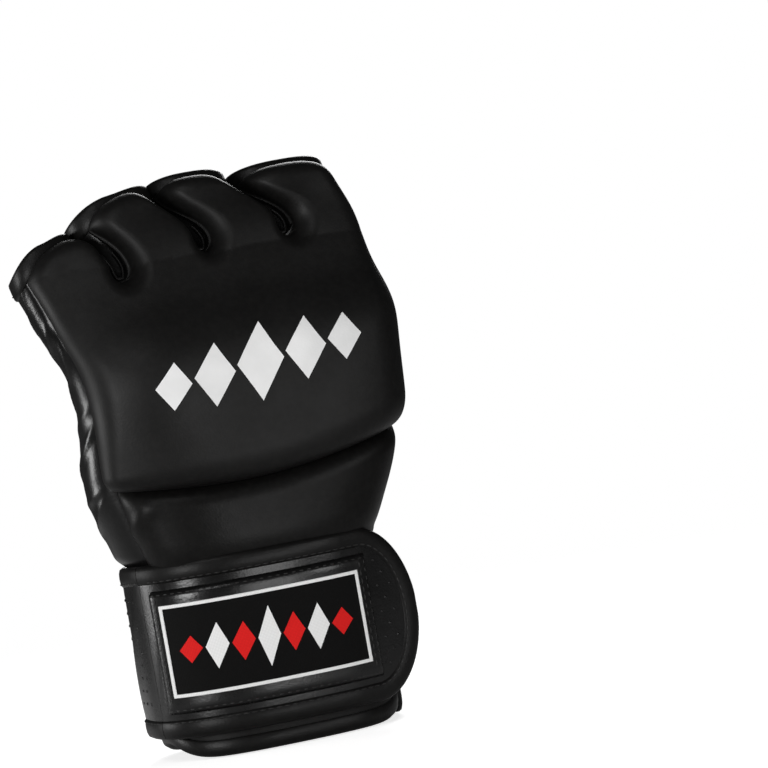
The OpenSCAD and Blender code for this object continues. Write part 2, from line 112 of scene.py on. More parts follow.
# Webs: middle and half depth, rise, climb and drop, half width, its loss to the palm and thickness; welts at
# the groove ends: rise, length of the legs, half width, sideways shift, depth, its slope and radius
WEB_MID, WEB_DEEP, WEB_UP, WEB_CLIMB, WEB_DROP = -3.8, 14.0, 2.4, 4.0, 2.6
WEB_HALF, WEB_LOSS, WEB_THICK = 5.5, 2.8, 1.3
END_UP, END_LEGS, END_HALF, END_SHIFT, END_DEPTH, END_SLOPE, END_R = 1.2, 9.0, 2.4, 0.8, -15.6, 0.35, 0.75

# Outer seams, little-finger side and thumb side: shares of the hand's half width, then of the outer sleeve's
BACK = ((-0.933, 0.958), (-0.78, 0.8))
PALM = ((-0.895, 0.986), (-0.815, 0.986))
OUTLINE = ((-1.0, 1.0), (-1.0, 1.0))
CROSS_S, CROSS_REACH = 150.0, 48.0
THUMB_SWELL, THUMB_S, THUMB_LONG = 4.2, 166.0, 19.0

# Finger strips: palm strip's share of the sleeve, where it is reached, room beside the sleeve, flare
PALM_STRIP, PALM_STRIP_REACH = 0.985, 8.0
BACK_GROW, PALM_GROW, SLEEVE_FLARE = 1.5, 0.3, 0.3

# Two points at the flap's hinge on the little-finger side: lengths along the strap, height, and distance
# outside the cuff's inner face
FOLD_Q, FOLD_Z, FOLD_T = (-1.0, 9.0), 42.0, 10.0

# Pads: edge thickness, and the knuckle pad's thickness that its lean and sag are measured against
PAD_EDGE, BACK_EDGE, LEAN_THICK = 1.6, 0.8, 18.4
SEAM_SINK, STRAP_SINK = 0.14, 0.3
PAD_LEAN, PAD_SAG = 4.5, 3.0

# Knuckle pad: share lost towards the fingers, by slopes of part, start and reach; its swell and where that is
PAD_LOSS, PAD_SLOPES = 0.41, ((0.45, 146.0, 58.0), (0.55, 151.0, 34.0))
SWELL, SWELL_X, SWELL_S, SWELL_WIDE, SWELL_LONG = 2.8, -31.0, 148.0, 15.0, 20.0

# How far in the pads' edges roll: at the seams (low and high up the hand), crease, grooves and lobe tops
SEAM_ROLL, CREASE_ROLL, GROOVE_ROLL, LOBE_ROLL = (14.0, 9.0), 12.5, 6.0, 8.0
BACK_ROLL_LEFT, BACK_ROLL_RIGHT, BACK_ROLL_TOP, BACK_ROLL_LOW = 11.0, 12.0, 9.0, 13.0

# Knuckle print: place across, half width and half height of each lozenge
KNUCKLE_PRINT = ((-26.0, 6.0, 9.0), (-11.5, 7.5, 12.0), (6.0, 9.0, 15.0), (23.5, 7.5, 12.0), (38.0, 6.0, 9.0))
PRINT_S, PRINT_LEAN, PRINT_FACES = 146.0, 0.12, (0.18, -0.2)

# Palm leather, and its opening
LEATHER_FACE, LEATHER_BACK = 1.6, 0.1
OPENING_MID, OPENING_POWER = 126.0, 3.5
OPENING_TOP, OPENING_LOW, OPENING_BOW, OPENING_X = 166.0, 90.0, 0.004, -14.0
HEEL_FADE = 0.12
WELT_T, WELT_HALF, WELT_SQUARE, WELT_STITCH = 0.9, (2.5, 1.7), 0.8, 4.2

# Folds of the leather: two ends as (x, s), width and height
PALM_FOLDS = (
    (((44.0, 194.0), (10.0, 178.0)), 3.4, 0.9), (((16.0, 176.0), (54.0, 168.0)), 4.2, 0.8),
    (((14.0, 188.0), (-24.0, 177.0)), 3.2, 0.8), (((-14.0, 188.0), (-50.0, 173.0)), 3.2, 0.9),
    (((6.0, 177.0), (-36.0, 169.0)), 3.8, 0.6), (((-46.0, 182.0), (-64.0, 162.0)), 3.0, 0.9),
    (((48.0, 208.0), (26.0, 199.0)), 3.0, 0.5), (((14.0, 206.0), (-8.0, 198.0)), 3.0, 0.5),
    (((-22.0, 206.0), (-42.0, 195.0)), 3.0, 0.5), (((-68.0, 194.0), (-52.0, 184.0)), 3.0, 0.5),
)
HEEL_FOLDS = (
    (((52.0, 98.0), (30.0, 76.0)), 2.6, 2.2), (((44.0, 100.0), (16.0, 80.0)), 2.2, 1.6),
    (((56.0, 88.0), (42.0, 74.0)), 2.0, 1.6), (((8.0, 88.0), (-24.0, 79.0)), 2.6, 1.0),
    (((-30.0, 90.0), (-46.0, 78.0)), 2.4, 1.2),
)
BACKHAND_FOLD = (((-48.0, 84.0), (-38.0, 101.0)), 3.0, 1.0)

# Folds of the lining: depth, height on the hand, slope and width
LINING_FOLDS = ((2.6, 113.0, 0.05, 4.0), (1.0, 146.0, 0.0, 9.0))

# Folds round the side panels: height on the hand, slope, width and height
SIDE_FOLDS = (
    (90.0, 34.0, 2.4, 0.6), (102.0, 14.0, 2.0, 0.45), (115.0, 40.0, 2.6, 0.75), (131.0, 22.0, 2.2, 0.4),
    (143.0, 46.0, 2.6, 0.7), (160.0, 30.0, 2.2, 0.4), (174.0, 42.0, 2.4, 0.5),
)

# Side panels: faces, share that rolls down at each seam and swell at the little finger; then for each one
# its finger, seam angles on the hand and on the sleeve, folds and upper end
SIDE_FACES, SIDE_ROLL, SIDE_SWELL = (1.1, 0.0), 0.14, 6.0
SIDE_PANELS = {
    "little": (LITTLE, (147.0, 207.0), (138.0, 225.0), SIDE_FOLDS, 190.0),
    "thumb": (INDEX, (335.0, 376.0), (312.0, 386.0), SIDE_FOLDS[1::3], 215.0),
}

# Profiles of the hems (out from the sleeve, up from the edge) and of the cuff's binding (out and up)
HEM_PROFILE = np.array([
    [-0.6, -8.0], [0.5, -7.9], [0.95, -7.0], [0.95, -4.5], [0.8, -2.0], [0.6, -0.9], [0.0, -0.2], [-0.9, 0.0],
    [-1.8, -0.3], [-2.3, -1.2], [-2.3, -4.5], [-2.2, -8.0],
])
CUFF_PROFILE = np.array([
    [7.2, 6.6], [7.7, 5.8], [7.7, 2.6], [7.3, 1.0], [6.0, 0.1], [3.4, 0.0], [0.8, 0.1], [-0.4, 1.0],
    [-0.6, 3.0], [-0.5, 5.8], [0.2, 6.4], [0.3, 6.6],
])

# Strap: heights off the cuff of its line, back, faces, dots and stitches, and of its print's two faces
STRAP_T, STRAP_BACK = 11.0, 9.0
BAND_FACE, BAND_PUFF, BAND_DOTS, BAND_STITCH, END_STITCH = 11.8, 0.35, 12.15, 12.75, 12.1
FLAP_FACE, FLAP_PUFF, FLAP_DOTS, FLAP_STITCH = 11.7, 0.5, 12.1, 12.8
BAND_PRINT, BAND_PRINT_A, BAND_PRINT_PITCH, BAND_PRINT_HALF = (12.75, 11.9), 58.0, 13.5, (5.2, 8.0)

# Strap's corner radius, stitches and dots in from its edge, and its binding (depth in from the edge, height)
CORNER, STITCH_IN, DOTS_IN = 7.0, 5.6, 9.0
BINDING = np.array([
    [6.6, 11.7], [6.5, 12.3], [5.6, 12.75], [3.4, 12.95], [1.2, 12.8], [-0.2, 12.3], [-0.8, 11.3],
    [-0.8, 10.2], [-0.3, 9.2], [0.8, 8.8], [3.4, 8.7], [6.0, 8.75], [6.5, 9.2], [6.6, 10.0],
])
BAND_FOLDS = ((((-30.0, 12.0), (-8.0, 66.0)), 4.5, 0.8), (((-52.0, 20.0), (-36.0, 64.0)), 5.0, 0.5))
END_FOLDS = ((((6.0, 60.0), (34.0, 20.0)), 4.0, 0.7), (((30.0, 66.0), (52.0, 30.0)), 5.0, 0.5))
BAND_LOW, BAND_CLIMB, BAND_HIGH, BAND_LIFT, BAND_DROP, BAND_SINK = 1.5, 8.5, 75.0, 1.0, 6.0, 3.4
FLAP_MID, FLAP_HALF = 43.0, 33.0
FLAP_FOLDS = ((((4.0, 16.0), (10.0, 66.0)), 2.4, 0.7), (((13.0, 70.0), (9.0, 20.0)), 2.0, 0.5))

# Label panel: middle heights, half sizes of panel, cloth and border; then heights off the cuff: the panel's
# back, edge, rise and two rows of stitches (depth in, height), faces of cloth and yarn, the border's section
LABEL_Z, PANEL_Z = 43.2, FLAP_MID - 0.2
PANEL_HALF, LABEL_HALF, BORDER_HALF = (44.5, 24.0), (37.5, 16.6), (38.8, 17.9)
PANEL_BACK, PANEL_EDGE, PANEL_RISE, PANEL_ROLL = 11.6, 12.2, 1.9, 3.2
PANEL_ROWS = ((1.6, 13.7), (4.0, 14.1))
LABEL_FACES, YARN_FACES = (14.45, 13.6), (14.72, 14.3)
YARN_PITCH, YARN_WIDE, YARN_TALL, YARN_LEAN = 9.6, 4.3, (5.2, 8.8, 7.4, 11.5), 0.1
BORDER_PROFILE = np.array([
    [0.0, 14.3], [0.12, 14.75], [0.7, 14.85], [1.28, 14.75], [1.45, 14.3], [1.45, 13.8], [0.0, 13.8],
])

# Lamps: place, size, power and aim, in metres and watts; room light, and the floor's glow, fade and size
LAMPS = {
    "Key": ((-0.95, -0.8, 0.2), 0.36, 7.0, (0.0, 0.0, 0.13)),
    "Rim": ((-1.0, 0.44, 0.15), 0.3, 3.6, (0.0, 0.0, 0.1)),
    "Front": ((0.72, -1.1, 0.3), 0.4, 3.2, (0.02, 0.0, 0.12)),
    "Low": ((0.15, -1.0, 0.03), 0.3, 2.0, (0.02, 0.0, 0.13)),
    "Top": ((-0.45, -0.8, 0.95), 0.4, 2.2, (0.0, 0.0, 0.13)),
    "Palm": ((0.5, 1.1, 0.7), 0.6, 9.0, (0.0, 0.0, 0.12)),
}
ROOM_LIGHT, FLOOR_GLOW, FLOOR_FADE, FLOOR_HALF, FLOOR_Z = 0.05, 0.72, (0.12, 0.7), 1.5, -0.0004

# Camera: azimuth, downward look and roll in degrees; distance, width of the frame and aim in metres
CAMERA_ANGLES = (-16.0, 1.5, 10.0)
CAMERA_DISTANCE, FRAME_WIDTH, CAMERA_SIDE, CAMERA_Z = 1.6, 0.2995, 0.0627, 0.1288


# Curves

def smooth(x):
    """Smooth step from 0 to 1: 3x^2 - 2x^3 on x held between 0 and 1."""
    x = np.clip(x, 0.0, 1.0)
    return x * x * (3.0 - 2.0 * x)


def ease(x):
    """Smoother step from 0 to 1: 6x^5 - 15x^4 + 10x^3, level in slope and bend at both ends."""
    x = np.clip(x, 0.0, 1.0)
    return x * x * x * (10.0 + x * (6.0 * x - 15.0))


def bell(x, width):
    """Bell curve: e to the power -(x / width)^2."""
    return np.exp(-((x / width) ** 2))


def spow(v, e):
    """Power that keeps the sign of its base."""
    return np.sign(v) * np.abs(v) ** e


def roll(x, power=2.2):
    """Rounded edge: a superellipse quarter from 0 at the edge to 1 at x = 1."""
    x = np.clip(x, 0.0, 1.0)
    return (1.0 - (1.0 - x) ** power) ** (1.0 / power)


def steps(count, low=0.0):
    """Even steps from low to 1."""
    return np.linspace(low, 1.0, count)


def turns(count):
    """Even angles round a full circle."""
    return np.linspace(0.0, 2.0 * math.pi, count, endpoint=False)


def stack(x, y, z):
    """Three coordinate arrays, broadcast and joined to points."""
    return np.stack(np.broadcast_arrays(x, y, z), axis=-1).astype(float)


def unit(v):
    """Vectors divided by their lengths."""
    return v / np.maximum(np.linalg.norm(v, axis=-1, keepdims=True), 1e-9)


def mix(a, b, w):
    """Straight mix of a and b by weight w."""
    return a + (b - a) * w


def run_length(path):
    """Length along a line of points, from its first one."""
    return np.concatenate([[0.0], np.cumsum(np.linalg.norm(np.diff(path, axis=0), axis=-1))])


def oval(a, rx, ry, t):
    """Superellipse of half sizes rx, ry at angle a, moved out by t along its normal."""
    c, s = np.cos(a), np.sin(a)
    e = 2.0 / POWER
    gx, gy = spow(c, 2.0 - e) / rx, spow(s, 2.0 - e) / ry
    g = np.hypot(gx, gy)
    return rx * spow(c, e) + t * gx / g, ry * spow(s, e) + t * gy / g


def ridge(x, s, ends, width, height):
    """Fold of leather: a Gaussian ridge along the segment ends, fading out towards both of its tips."""
    (x0, s0), (x1, s1) = ends
    dx, ds = x1 - x0, s1 - s0
    length = math.hypot(dx, ds)
    along = ((x - x0) * dx + (s - s0) * ds) / length**2
    across = ((x - x0) * ds - (s - s0) * dx) / length
    fade = np.clip(1.0 - (2.0 * along - 1.0) ** 2, 0.0, 1.0) ** 0.8
    return height * fade * bell(across, width)


def ridges(x, s, folds):
    """Sum of several folds."""
    return sum(ridge(x, s, *fold) for fold in folds)


# Hand and fingers

def station_slopes():
    """Slope of each station column, from its neighbours."""
    low, high = STATIONS[[0, 0, 1, 2]], STATIONS[[1, 2, 3, 3]]
    return (high[:, 1:] - low[:, 1:]) / (high[:, :1] - low[:, :1])


SLOPES = station_slopes()


def station(z):
    """Hand section at height z: cubic Hermite curve through the stations."""
    z = np.asarray(z, float)
    knots = STATIONS[:, 0]
    i = np.clip(np.searchsorted(knots, z, side="right") - 1, 0, 2)
    span = (knots[i + 1] - knots[i])[..., None]
    u = np.clip((z[..., None] - knots[i][..., None]) / span, 0.0, 1.0)
    v = ((2 * u**3 - 3 * u**2 + 1) * STATIONS[i, 1:] + (u**3 - 2 * u**2 + u) * span * SLOPES[i]
         + (3 * u**2 - 2 * u**3) * STATIONS[i + 1, 1:] + (u**3 - u**2) * span * SLOPES[i + 1])
    return v[..., 0], v[..., 1], v[..., 2], v[..., 3]


def hand(z, a, t):
    """Point of the hand's shell at height z and angle a in degrees, t outside the inner face."""
    cx, cy, w, d = station(z)
    x, y = oval(np.radians(a), w, d, t)
    return stack(cx + x, cy + y, z)


def crease(x):
    """Height of the crease between the two back pads: a parabola, level past the thumb side."""
    rise = CREASE_RISE * ((x - CREASE_X) / CREASE_REACH) ** 2
    return np.minimum(CREASE_S + rise, CREASE_S + CREASE_RISE)


def bend_table():
    """Centre line of a finger: its lean grows smoothly to the tilt round the root, and its sines and cosines
    are summed to y and z."""
    e = np.linspace(-BEND_REACH, 60.0, 371)
    phi = TILT * smooth((e + BEND_REACH) / (2.0 * BEND_REACH))
    step = e[1] - e[0]
    y = np.concatenate([[0.0], np.cumsum(np.sin(phi[:-1]) * step)])
    z = -BEND_REACH + np.concatenate([[0.0], np.cumsum(np.cos(phi[:-1]) * step)])
    return e, phi, y, z


BEND_E, BEND_PHI, BEND_Y, BEND_Z = bend_table()


def bend(x, n, s):
    """Leans straight coordinates (x, depth n, length s) with the fingers' centre line, whose root is lower at
    the little finger."""
    root = ROOT_S - LITTLE_ROOT_DROP * smooth((-x - 38.0) / 20.0)
    e = s - root
    phi = np.interp(e, BEND_E, BEND_PHI)
    y = np.where(e < -BEND_REACH, 0.0, np.interp(e, BEND_E, BEND_Y))
    z = np.where(e < -BEND_REACH, e, np.interp(e, BEND_E, BEND_Z))
    return stack(x, ROOT_Y + y + n * np.cos(phi), root + z - n * np.sin(phi))


def sleeve(i, s):
    """Middle x and half width of finger i's sleeve at length s, going over from the root to the hem."""
    w = smooth((s - LEAN_S[i]) / LEAN_REACH)
    return mix(ROOT_MID[i], TOP_MID[i], w), mix(ROOT_HALF[i], TOP_HALF[i], w)


def groove_x(k, s, back):
    """Line between fingers k and k + 1: on the back a leaning groove, in the palm the sleeves' middle."""
    if back:
        return mix(GROOVE_LOW_X[k], GROOVE_TOP_X[k], smooth((s - GROOVE_S[k] - GROOVE_R) / GROOVE_LEAN))
    (mid, half), (next_mid, next_half) = sleeve(k, s), sleeve(k + 1, s)
    return 0.5 * (mid - half + next_mid + next_half)


def groove_half(k, s):
    """Half width of the groove on the back: a quarter circle at its end, then level."""
    e = np.clip((s - GROOVE_S[k]) / GROOVE_R, 0.0, 1.0)
    return GROOVE_R * np.sqrt(e * (2.0 - e))


def groove_gap(k, x, s):
    """Distance outside a groove on the back, whose outline is a leaning slot with a round end."""
    down = np.maximum(GROOVE_S[k] + GROOVE_R - s, 0.0)
    return np.hypot(x - groove_x(k, s, True), down) - GROOVE_R


def outer_share(s):
    """How far the outer seams have gone over from the hand to the outer sleeves."""
    return smooth((s - CROSS_S) / CROSS_REACH)


def thumb_bulge(s):
    """Swell of the hand beside the index finger's root: a bell curve over the length."""
    return THUMB_SWELL * bell(s - THUMB_S, THUMB_LONG)


def seams(s, seam):
    """Left and right seam: shares of the hand's half width, drawn over to shares of the outer sleeves'."""
    cx, _, w, _ = station(s)
    lines = []
    for i, on_hand, on_sleeve in zip((LITTLE, INDEX), *seam):
        mid, half = sleeve(i, s)
        lines.append(mix(cx + on_hand * (w + LINING_OUT), mid + on_sleeve * half, outer_share(s)))
    return lines[0], lines[1] + thumb_bulge(s)


def between_seams(s, seam, u):
    """x at share u of the way from the left seam to the right one."""
    return mix(*seams(s, seam), u)


def strip_edges(i, s, seam):
    """Left and right edge of finger i's strip: an outer seam, or the line to the next finger, less the groove
    on the back, and drawn over to the sleeve's own side in the palm."""
    edges = list(seams(s, seam))
    mid, half = sleeve(i, s)
    for side, k, turn in ((0, i, -1.0), (1, i - 1, 1.0)):
        if k not in range(3):
            continue
        line = groove_x(k, s, seam is BACK)
        if seam is BACK:
            edges[side] = line - turn * groove_half(k, s)
        else:
            w = smooth((s - GROOVE_S[k]) / PALM_STRIP_REACH)
            edges[side] = mix(line, mid + turn * PALM_STRIP * half, w)
    return edges


def shell_base(i, x, s, side):
    """Shell under the leather: hand oval below, finger i's sleeve oval above, on the back or the palm side.
    Gives depth n and the outward direction in x and n."""
    _, cy, _, d = station(s)
    ry = d + LINING_OUT
    left, right = seams(s, OUTLINE)
    rx = (right - left) / 2.0
    xi = np.clip((x - left) / rx - 1.0, -0.999, 0.999)
    eta = (1.0 - np.abs(xi) ** POWER) ** (1.0 / POWER)
    gx, gn = spow(xi, POWER - 1.0) / rx, side * eta ** (POWER - 1.0) / ry
    g = np.hypot(gx, gn)
    n = cy - ROOT_Y + side * ry * eta
    dx, dn = gx / g, gn / g
    if i is not None:
        mid, half = sleeve(i, s)
        xt = np.clip((x - mid) / (half + (BACK_GROW if side == BACK_SIDE else PALM_GROW)), -1.0, 1.0)
        low = mix(GROOVE_S[min(i, 2)], GROOVE_S[max(i - 1, 0)], (xt + 1.0) / 2.0)
        w = ease((s - low) / GROOVE_LEAN)
        tube = side * HALF_DEPTH * (1.0 - np.abs(xt) ** POWER) ** (1.0 / POWER)
        n = mix(n, tube, w)
        dx, dn = mix(dx, SLEEVE_FLARE * xt, w), mix(dn, side, w)
        g = np.hypot(dx, dn)
        dx, dn = dx / g, dn / g
    return n, dx, dn


def hem_s(i, u):
    """Length at which finger i's hem ends, over its width share u: powers of u drop it at both sides."""
    return HEM_S[i] - HEM_DROP_LEFT[i] * (1.0 - u) ** HEM_POWERS[0] - HEM_DROP_RIGHT[i] * u ** HEM_POWERS[1]


def lobe_top(i, u):
    """Upper edge of finger i's pad: a cubic arch a little below the hem."""
    return hem_s(i, LOBE_LEFT + LOBE_WIDE * u) - LOBE_BELOW - LOBE_ARCH * np.abs(2.0 * u - 1.0) ** 3.0


# Meshes

def quads(index):
    """Four-sided faces of a grid of vertex numbers."""
    return np.stack([index[:-1, :-1], index[1:, :-1], index[1:, 1:], index[:-1, 1:]], axis=-1).reshape(-1, 4)


def add_piece(name, points, faces, finish, normals=None, sharp=50.0, fans=()):
    """Puts points, four-sided faces and end triangles into a new object; where the volume about its middle is
    negative, the faces are turned outward."""
    points = np.asarray(points, float).reshape(-1, 3)
    centred = points - points.mean(axis=0)
    a, b, c, d = (centred[faces[:, k]] for k in range(4))
    fans = np.reshape(np.array(fans, int), (-1, 3))
    if (np.cross(a, b) * c).sum() + (np.cross(a, c) * d).sum() < 0.0:
        faces, fans = faces[:, ::-1], fans[:, ::-1]
        normals = None if normals is None else normals[:, ::-1]
    mesh = bpy.data.meshes.new(name)
    mesh.from_pydata((points * MM).tolist(), [], faces.tolist() + fans.tolist())
    mesh.update()
    mesh.shade_smooth()
    mesh.set_sharp_from_angle(angle=math.radians(sharp))
    if normals is not None:
        mesh.normals_split_custom_set(normals.reshape(-1, 3).tolist())
    mesh.materials.append(material(finish))
    piece = bpy.data.objects.new(name, mesh)
    bpy.context.scene.collection.objects.link(piece)
    return piece


def slab(name, outer, inner, finish, closed=False, normals=None):
    """Closed skin between two matching grids, joined along their rims; closed joins the first direction up.
    normals gives the outer face's shading where a piece meets its neighbour without a step."""
    nu, nv = outer.shape[:2]
    count = nu * nv
    index = np.arange(count).reshape(nu, nv)
    loop = np.vstack([index, index[:1]]) if closed else index
    front, back = quads(loop), quads(loop + count)[:, ::-1]
    rims = [(loop[:, 0], 1), (loop[:, -1], -1)]
    if not closed:
        rims += [(index[0], -1), (index[-1], 1)]
    sides = []
    for line, turn in rims:
        side = np.stack([line[1:], line[:-1], line[:-1] + count, line[1:] + count], axis=-1)
        sides.append(side[:, ::turn])
    faces = np.concatenate([front, back] + sides)
    points = np.concatenate([outer.reshape(-1, 3), inner.reshape(-1, 3)])
    corner = None
    if normals is not None:
        flat = points[faces]
        face_normals = unit(np.cross(flat[:, 2] - flat[:, 0], flat[:, 3] - flat[:, 1]))
        corner = np.repeat(face_normals[:, None, :], 4, axis=1)
        corner[:len(front)] = normals.reshape(-1, 3)[front]
        corner[len(front):2 * len(front)] = -normals.reshape(-1, 3)[back - count]
    return add_piece(name, points, faces, finish, corner)


def faced_slab(name, face, back, x, s, finish, turn=1.0):
    """Slab between two surfaces of x and s, shaded by the outer one's slopes from central differences."""
    h = 0.05
    normals = unit(np.cross(face(x + h, s) - face(x - h, s), face(x, s + h) - face(x, s - h)))
    return slab(name, face(x, s), back(x, s), finish, normals=turn * normals)


def sweep(name, rings, finish, closed=False, sharp=50.0):
    """Profile carried along a path: rings[path, profile]. The profile is a loop; an open path is capped."""
    nu, nv = rings.shape[:2]
    index = np.arange(nu * nv).reshape(nu, nv)
    index = np.hstack([index, index[:, :1]])
    points = rings.reshape(-1, 3)
    if closed:
        return add_piece(name, points, quads(np.vstack([index, index[:1]])), finish, sharp=sharp)
    points = np.concatenate([points, rings[[0, -1]].mean(axis=1)])
    fans = []
    for end, row, turn in ((nu * nv, index[0], -1), (nu * nv + 1, index[-1], 1)):
        fans.append(np.stack([row[1:], row[:-1], np.full(nv, end)], axis=-1)[:, ::turn])
    return add_piece(name, points, quads(index), finish, sharp=sharp, fans=np.concatenate(fans))


def rings_along(path, across, out, half_w, half_h, count, power=1.0):
    """Rings for a sweep: superellipses about a path, spanned by two directions."""
    a = turns(count)
    return (path[:, None] + across[:, None] * (half_w * spow(np.cos(a), power))[:, None]
            + out[:, None] * (half_h * spow(np.sin(a), power))[:, None])


def repeat_shape(name, shape, faces, origins, axes, finish):
    """One small shape set at every origin, with its x, y and z along the three given axes."""
    points = origins[:, None] + sum(shape[None, :, k, None] * axes[k][:, None] for k in range(3))
    every = (faces[None] + len(shape) * np.arange(len(origins))[:, None, None]).reshape(-1, 4)
    return add_piece(name, points, every, finish, sharp=60.0)


def six_sided(rings):
    """Points and faces of a small shape: rings of six points, joined in turn and closed at both ends."""
    index = np.arange(6 * len(rings)).reshape(-1, 6)
    low, high = index[0], index[-1]
    caps = np.stack([low[[0, 1, 2, 3]], low[[0, 3, 4, 5]], high[[3, 2, 1, 0]], high[[5, 4, 3, 0]]])
    return np.concatenate(rings), np.concatenate([quads(np.hstack([index, index[:, :1]])), caps])


def stitch_shape(length, width, height):
    """One stitch: an oval thread, thick in the middle and dipping at both ends by a parabola."""
    rings = []
    for u, thick in ((-1.0, 0.25), (-0.5, 0.85), (0.0, 1.0), (0.5, 0.85), (1.0, 0.25)):
        y, z = thick * np.cos(SIXTHS) * width / 2.0, thick * np.sin(SIXTHS) * height / 2.0
        rings.append(stack(u * length / 2.0, y, z - 0.35 * height * u**2))
    return six_sided(rings)


def dome_shape(radius, height):
    """Small dome on a six-sided foot: a foot ring, a shoulder ring and a flat crown."""
    rings = []
    for share, rise in ((1.0, -0.4), (0.78, 0.6), (0.34, 1.0)):
        rings.append(stack(np.cos(SIXTHS) * radius * share, np.sin(SIXTHS) * radius * share, height * rise))
    return six_sided(rings)


def places_along(path, normals, pitch):
    """Points every pitch along a line, with its direction and normals there."""
    length = run_length(path)
    at = np.arange(pitch / 2.0, length[-1], pitch)

    def pick(values, where):
        """Values between the line's points, at lengths along it."""
        return np.stack([np.interp(where, length, values[:, k]) for k in range(3)], axis=-1)

    tangent = unit(pick(path, at + 0.3) - pick(path, at - 0.3))
    normal = pick(normals, at)
    normal = unit(normal - (normal * tangent).sum(axis=-1, keepdims=True) * tangent)
    return pick(path, at), tangent, normal


def stitches(name, lines, pitch):
    """Rows of stitches along several lines, each a pair of points and normals."""
    parts = [places_along(path, normals, pitch) for path, normals in lines]
    point, tangent, normal = (np.concatenate(column) for column in zip(*parts))
    shape, faces = stitch_shape(*STITCH)
    axes = (tangent, np.cross(normal, tangent), normal)
    return repeat_shape(name, shape, faces, point + 0.1 * normal, axes, "thread")


def lozenge(place, half_w, half_h, lean=0.0):
    """Rhombus grid about a place: corners half_w and half_h away, leaned sideways by lean."""
    u, v = np.meshgrid(steps(9, -1.0), steps(9, -1.0), indexing="ij")
    x, z = (u + v) / 2.0 * half_w, (u - v) / 2.0 * half_h
    return place[0] + x + lean * z, place[1] + z


# Materials

def feed(tree, node, inputs):
    """Sets a node's inputs: a socket is linked, and any other value is written in."""
    for key, value in inputs.items():
        if isinstance(value, bpy.types.NodeSocket):
            tree.links.new(value, node.inputs[key])
        else:
            node.inputs[key].default_value = value


def add_node(tree, kind, inputs, output, **settings):
    """Adds a shader node with its settings and inputs, and gives one of its outputs."""
    node = tree.nodes.new("ShaderNode" + kind)
    for key, value in settings.items():
        setattr(node, key, value)
    feed(tree, node, inputs)
    return node.outputs[output]


def noise(tree, place, scale, detail):
    """Noise texture on object coordinates."""
    return add_node(tree, "TexNoise", {"Vector": place, "Scale": scale, "Detail": detail}, "Fac")


def cells(tree, place, pitch):
    """Cell texture on object coordinates: distance to the nearest of points about pitch millimetres apart."""
    return add_node(tree, "TexVoronoi", {"Vector": place, "Scale": 1.0 / MM / pitch}, "Distance")


def ramp(tree, value, low, high, to_low, to_high):
    """Maps a value from one range to another."""
    return add_node(tree, "MapRange", {"Value": value, "From Min": low, "From Max": high, "To Min": to_low,
                                       "To Max": to_high}, "Result")


def shade(tree, value, colour, low, high):
    """Colour times a share between low and high, by value."""
    dark, light = ((*(min(c * share, 1.0) for c in colour), 1.0) for share in (low, high))
    return add_node(tree, "Mix", {"Factor": value, "A": dark, "B": light}, "Result", data_type="RGBA")


def bump(tree, height, strength, distance, **under):
    """Bump from a height value, on top of another bump where one is given."""
    inputs = {"Height": height, "Strength": strength, "Distance": distance, **under}
    return add_node(tree, "Bump", inputs, "Normal")


def new_material(name):
    """Material with its node tree, shader and object coordinates."""
    mat = bpy.data.materials.new(name)
    mat.use_nodes = True
    tree = mat.node_tree
    return mat, tree, tree.nodes["Principled BSDF"], add_node(tree, "TexCoord", {}, "Object")


def leather(name, colour, rough, grain, strength, gloss, coat=0.0):
    """Coated leather: fine cell grain, slow waves of gloss and a little wear in the colour."""
    mat, tree, shader, place = new_material(name)
    wear = ramp(tree, noise(tree, place, 420.0, 2.0), 0.35, 0.75, 0.0, 1.0)
    grain_bump = bump(tree, cells(tree, place, grain), strength, 0.00012)
    feed(tree, shader, {
        "Roughness": ramp(tree, noise(tree, place, 34.0, 4.0), 0.3, 0.7, rough - 0.05, rough + 0.06),
        "Base Color": shade(tree, wear, colour, 0.8, 1.3),
        "Normal": bump(tree, noise(tree, place, 90.0, 2.0), 0.12, 0.0006, Normal=grain_bump),
        "Specular IOR Level": gloss, "Coat Weight": coat, "Coat Roughness": 0.28,
    })
    return mat


def cloth(name, colour, rough, pitch, strength, sheen):
    """Knitted or brushed cloth: small cells for the stitches, a soft sheen and a slow change of colour."""
    mat, tree, shader, place = new_material(name)
    knit = cells(tree, place, pitch)
    feed(tree, shader, {
        "Base Color": shade(tree, noise(tree, place, 60.0, 3.0), colour, 0.7, 1.35),
        "Roughness": ramp(tree, knit, 0.0, 0.6, rough, min(rough + 0.15, 1.0)),
        "Normal": bump(tree, knit, strength, 0.0003), "Sheen Weight": sheen, "Sheen Roughness": 0.4,
    })
    return mat


def woven(name, colour, rough, pitch, gloss=0.5):
    """Woven ribbon: the product of two crossed sine waves makes threads over and under."""
    mat, tree, shader, place = new_material(name)
    inputs = {"Vector": place, "Scale": 1.0 / MM / pitch / 6.28 * 2.0, "Distortion": 0.4}
    waves = [add_node(tree, "TexWave", inputs, "Fac", bands_direction=axis) for axis in ("X", "Z")]
    weave = add_node(tree, "Math", dict(enumerate(waves)), "Value", operation="MULTIPLY")
    feed(tree, shader, {
        "Base Color": shade(tree, weave, colour, 0.82, 1.1), "Normal": bump(tree, weave, 0.35, 0.00025),
        "Roughness": rough, "Specular IOR Level": gloss,
    })
    return mat


MATERIALS = {}


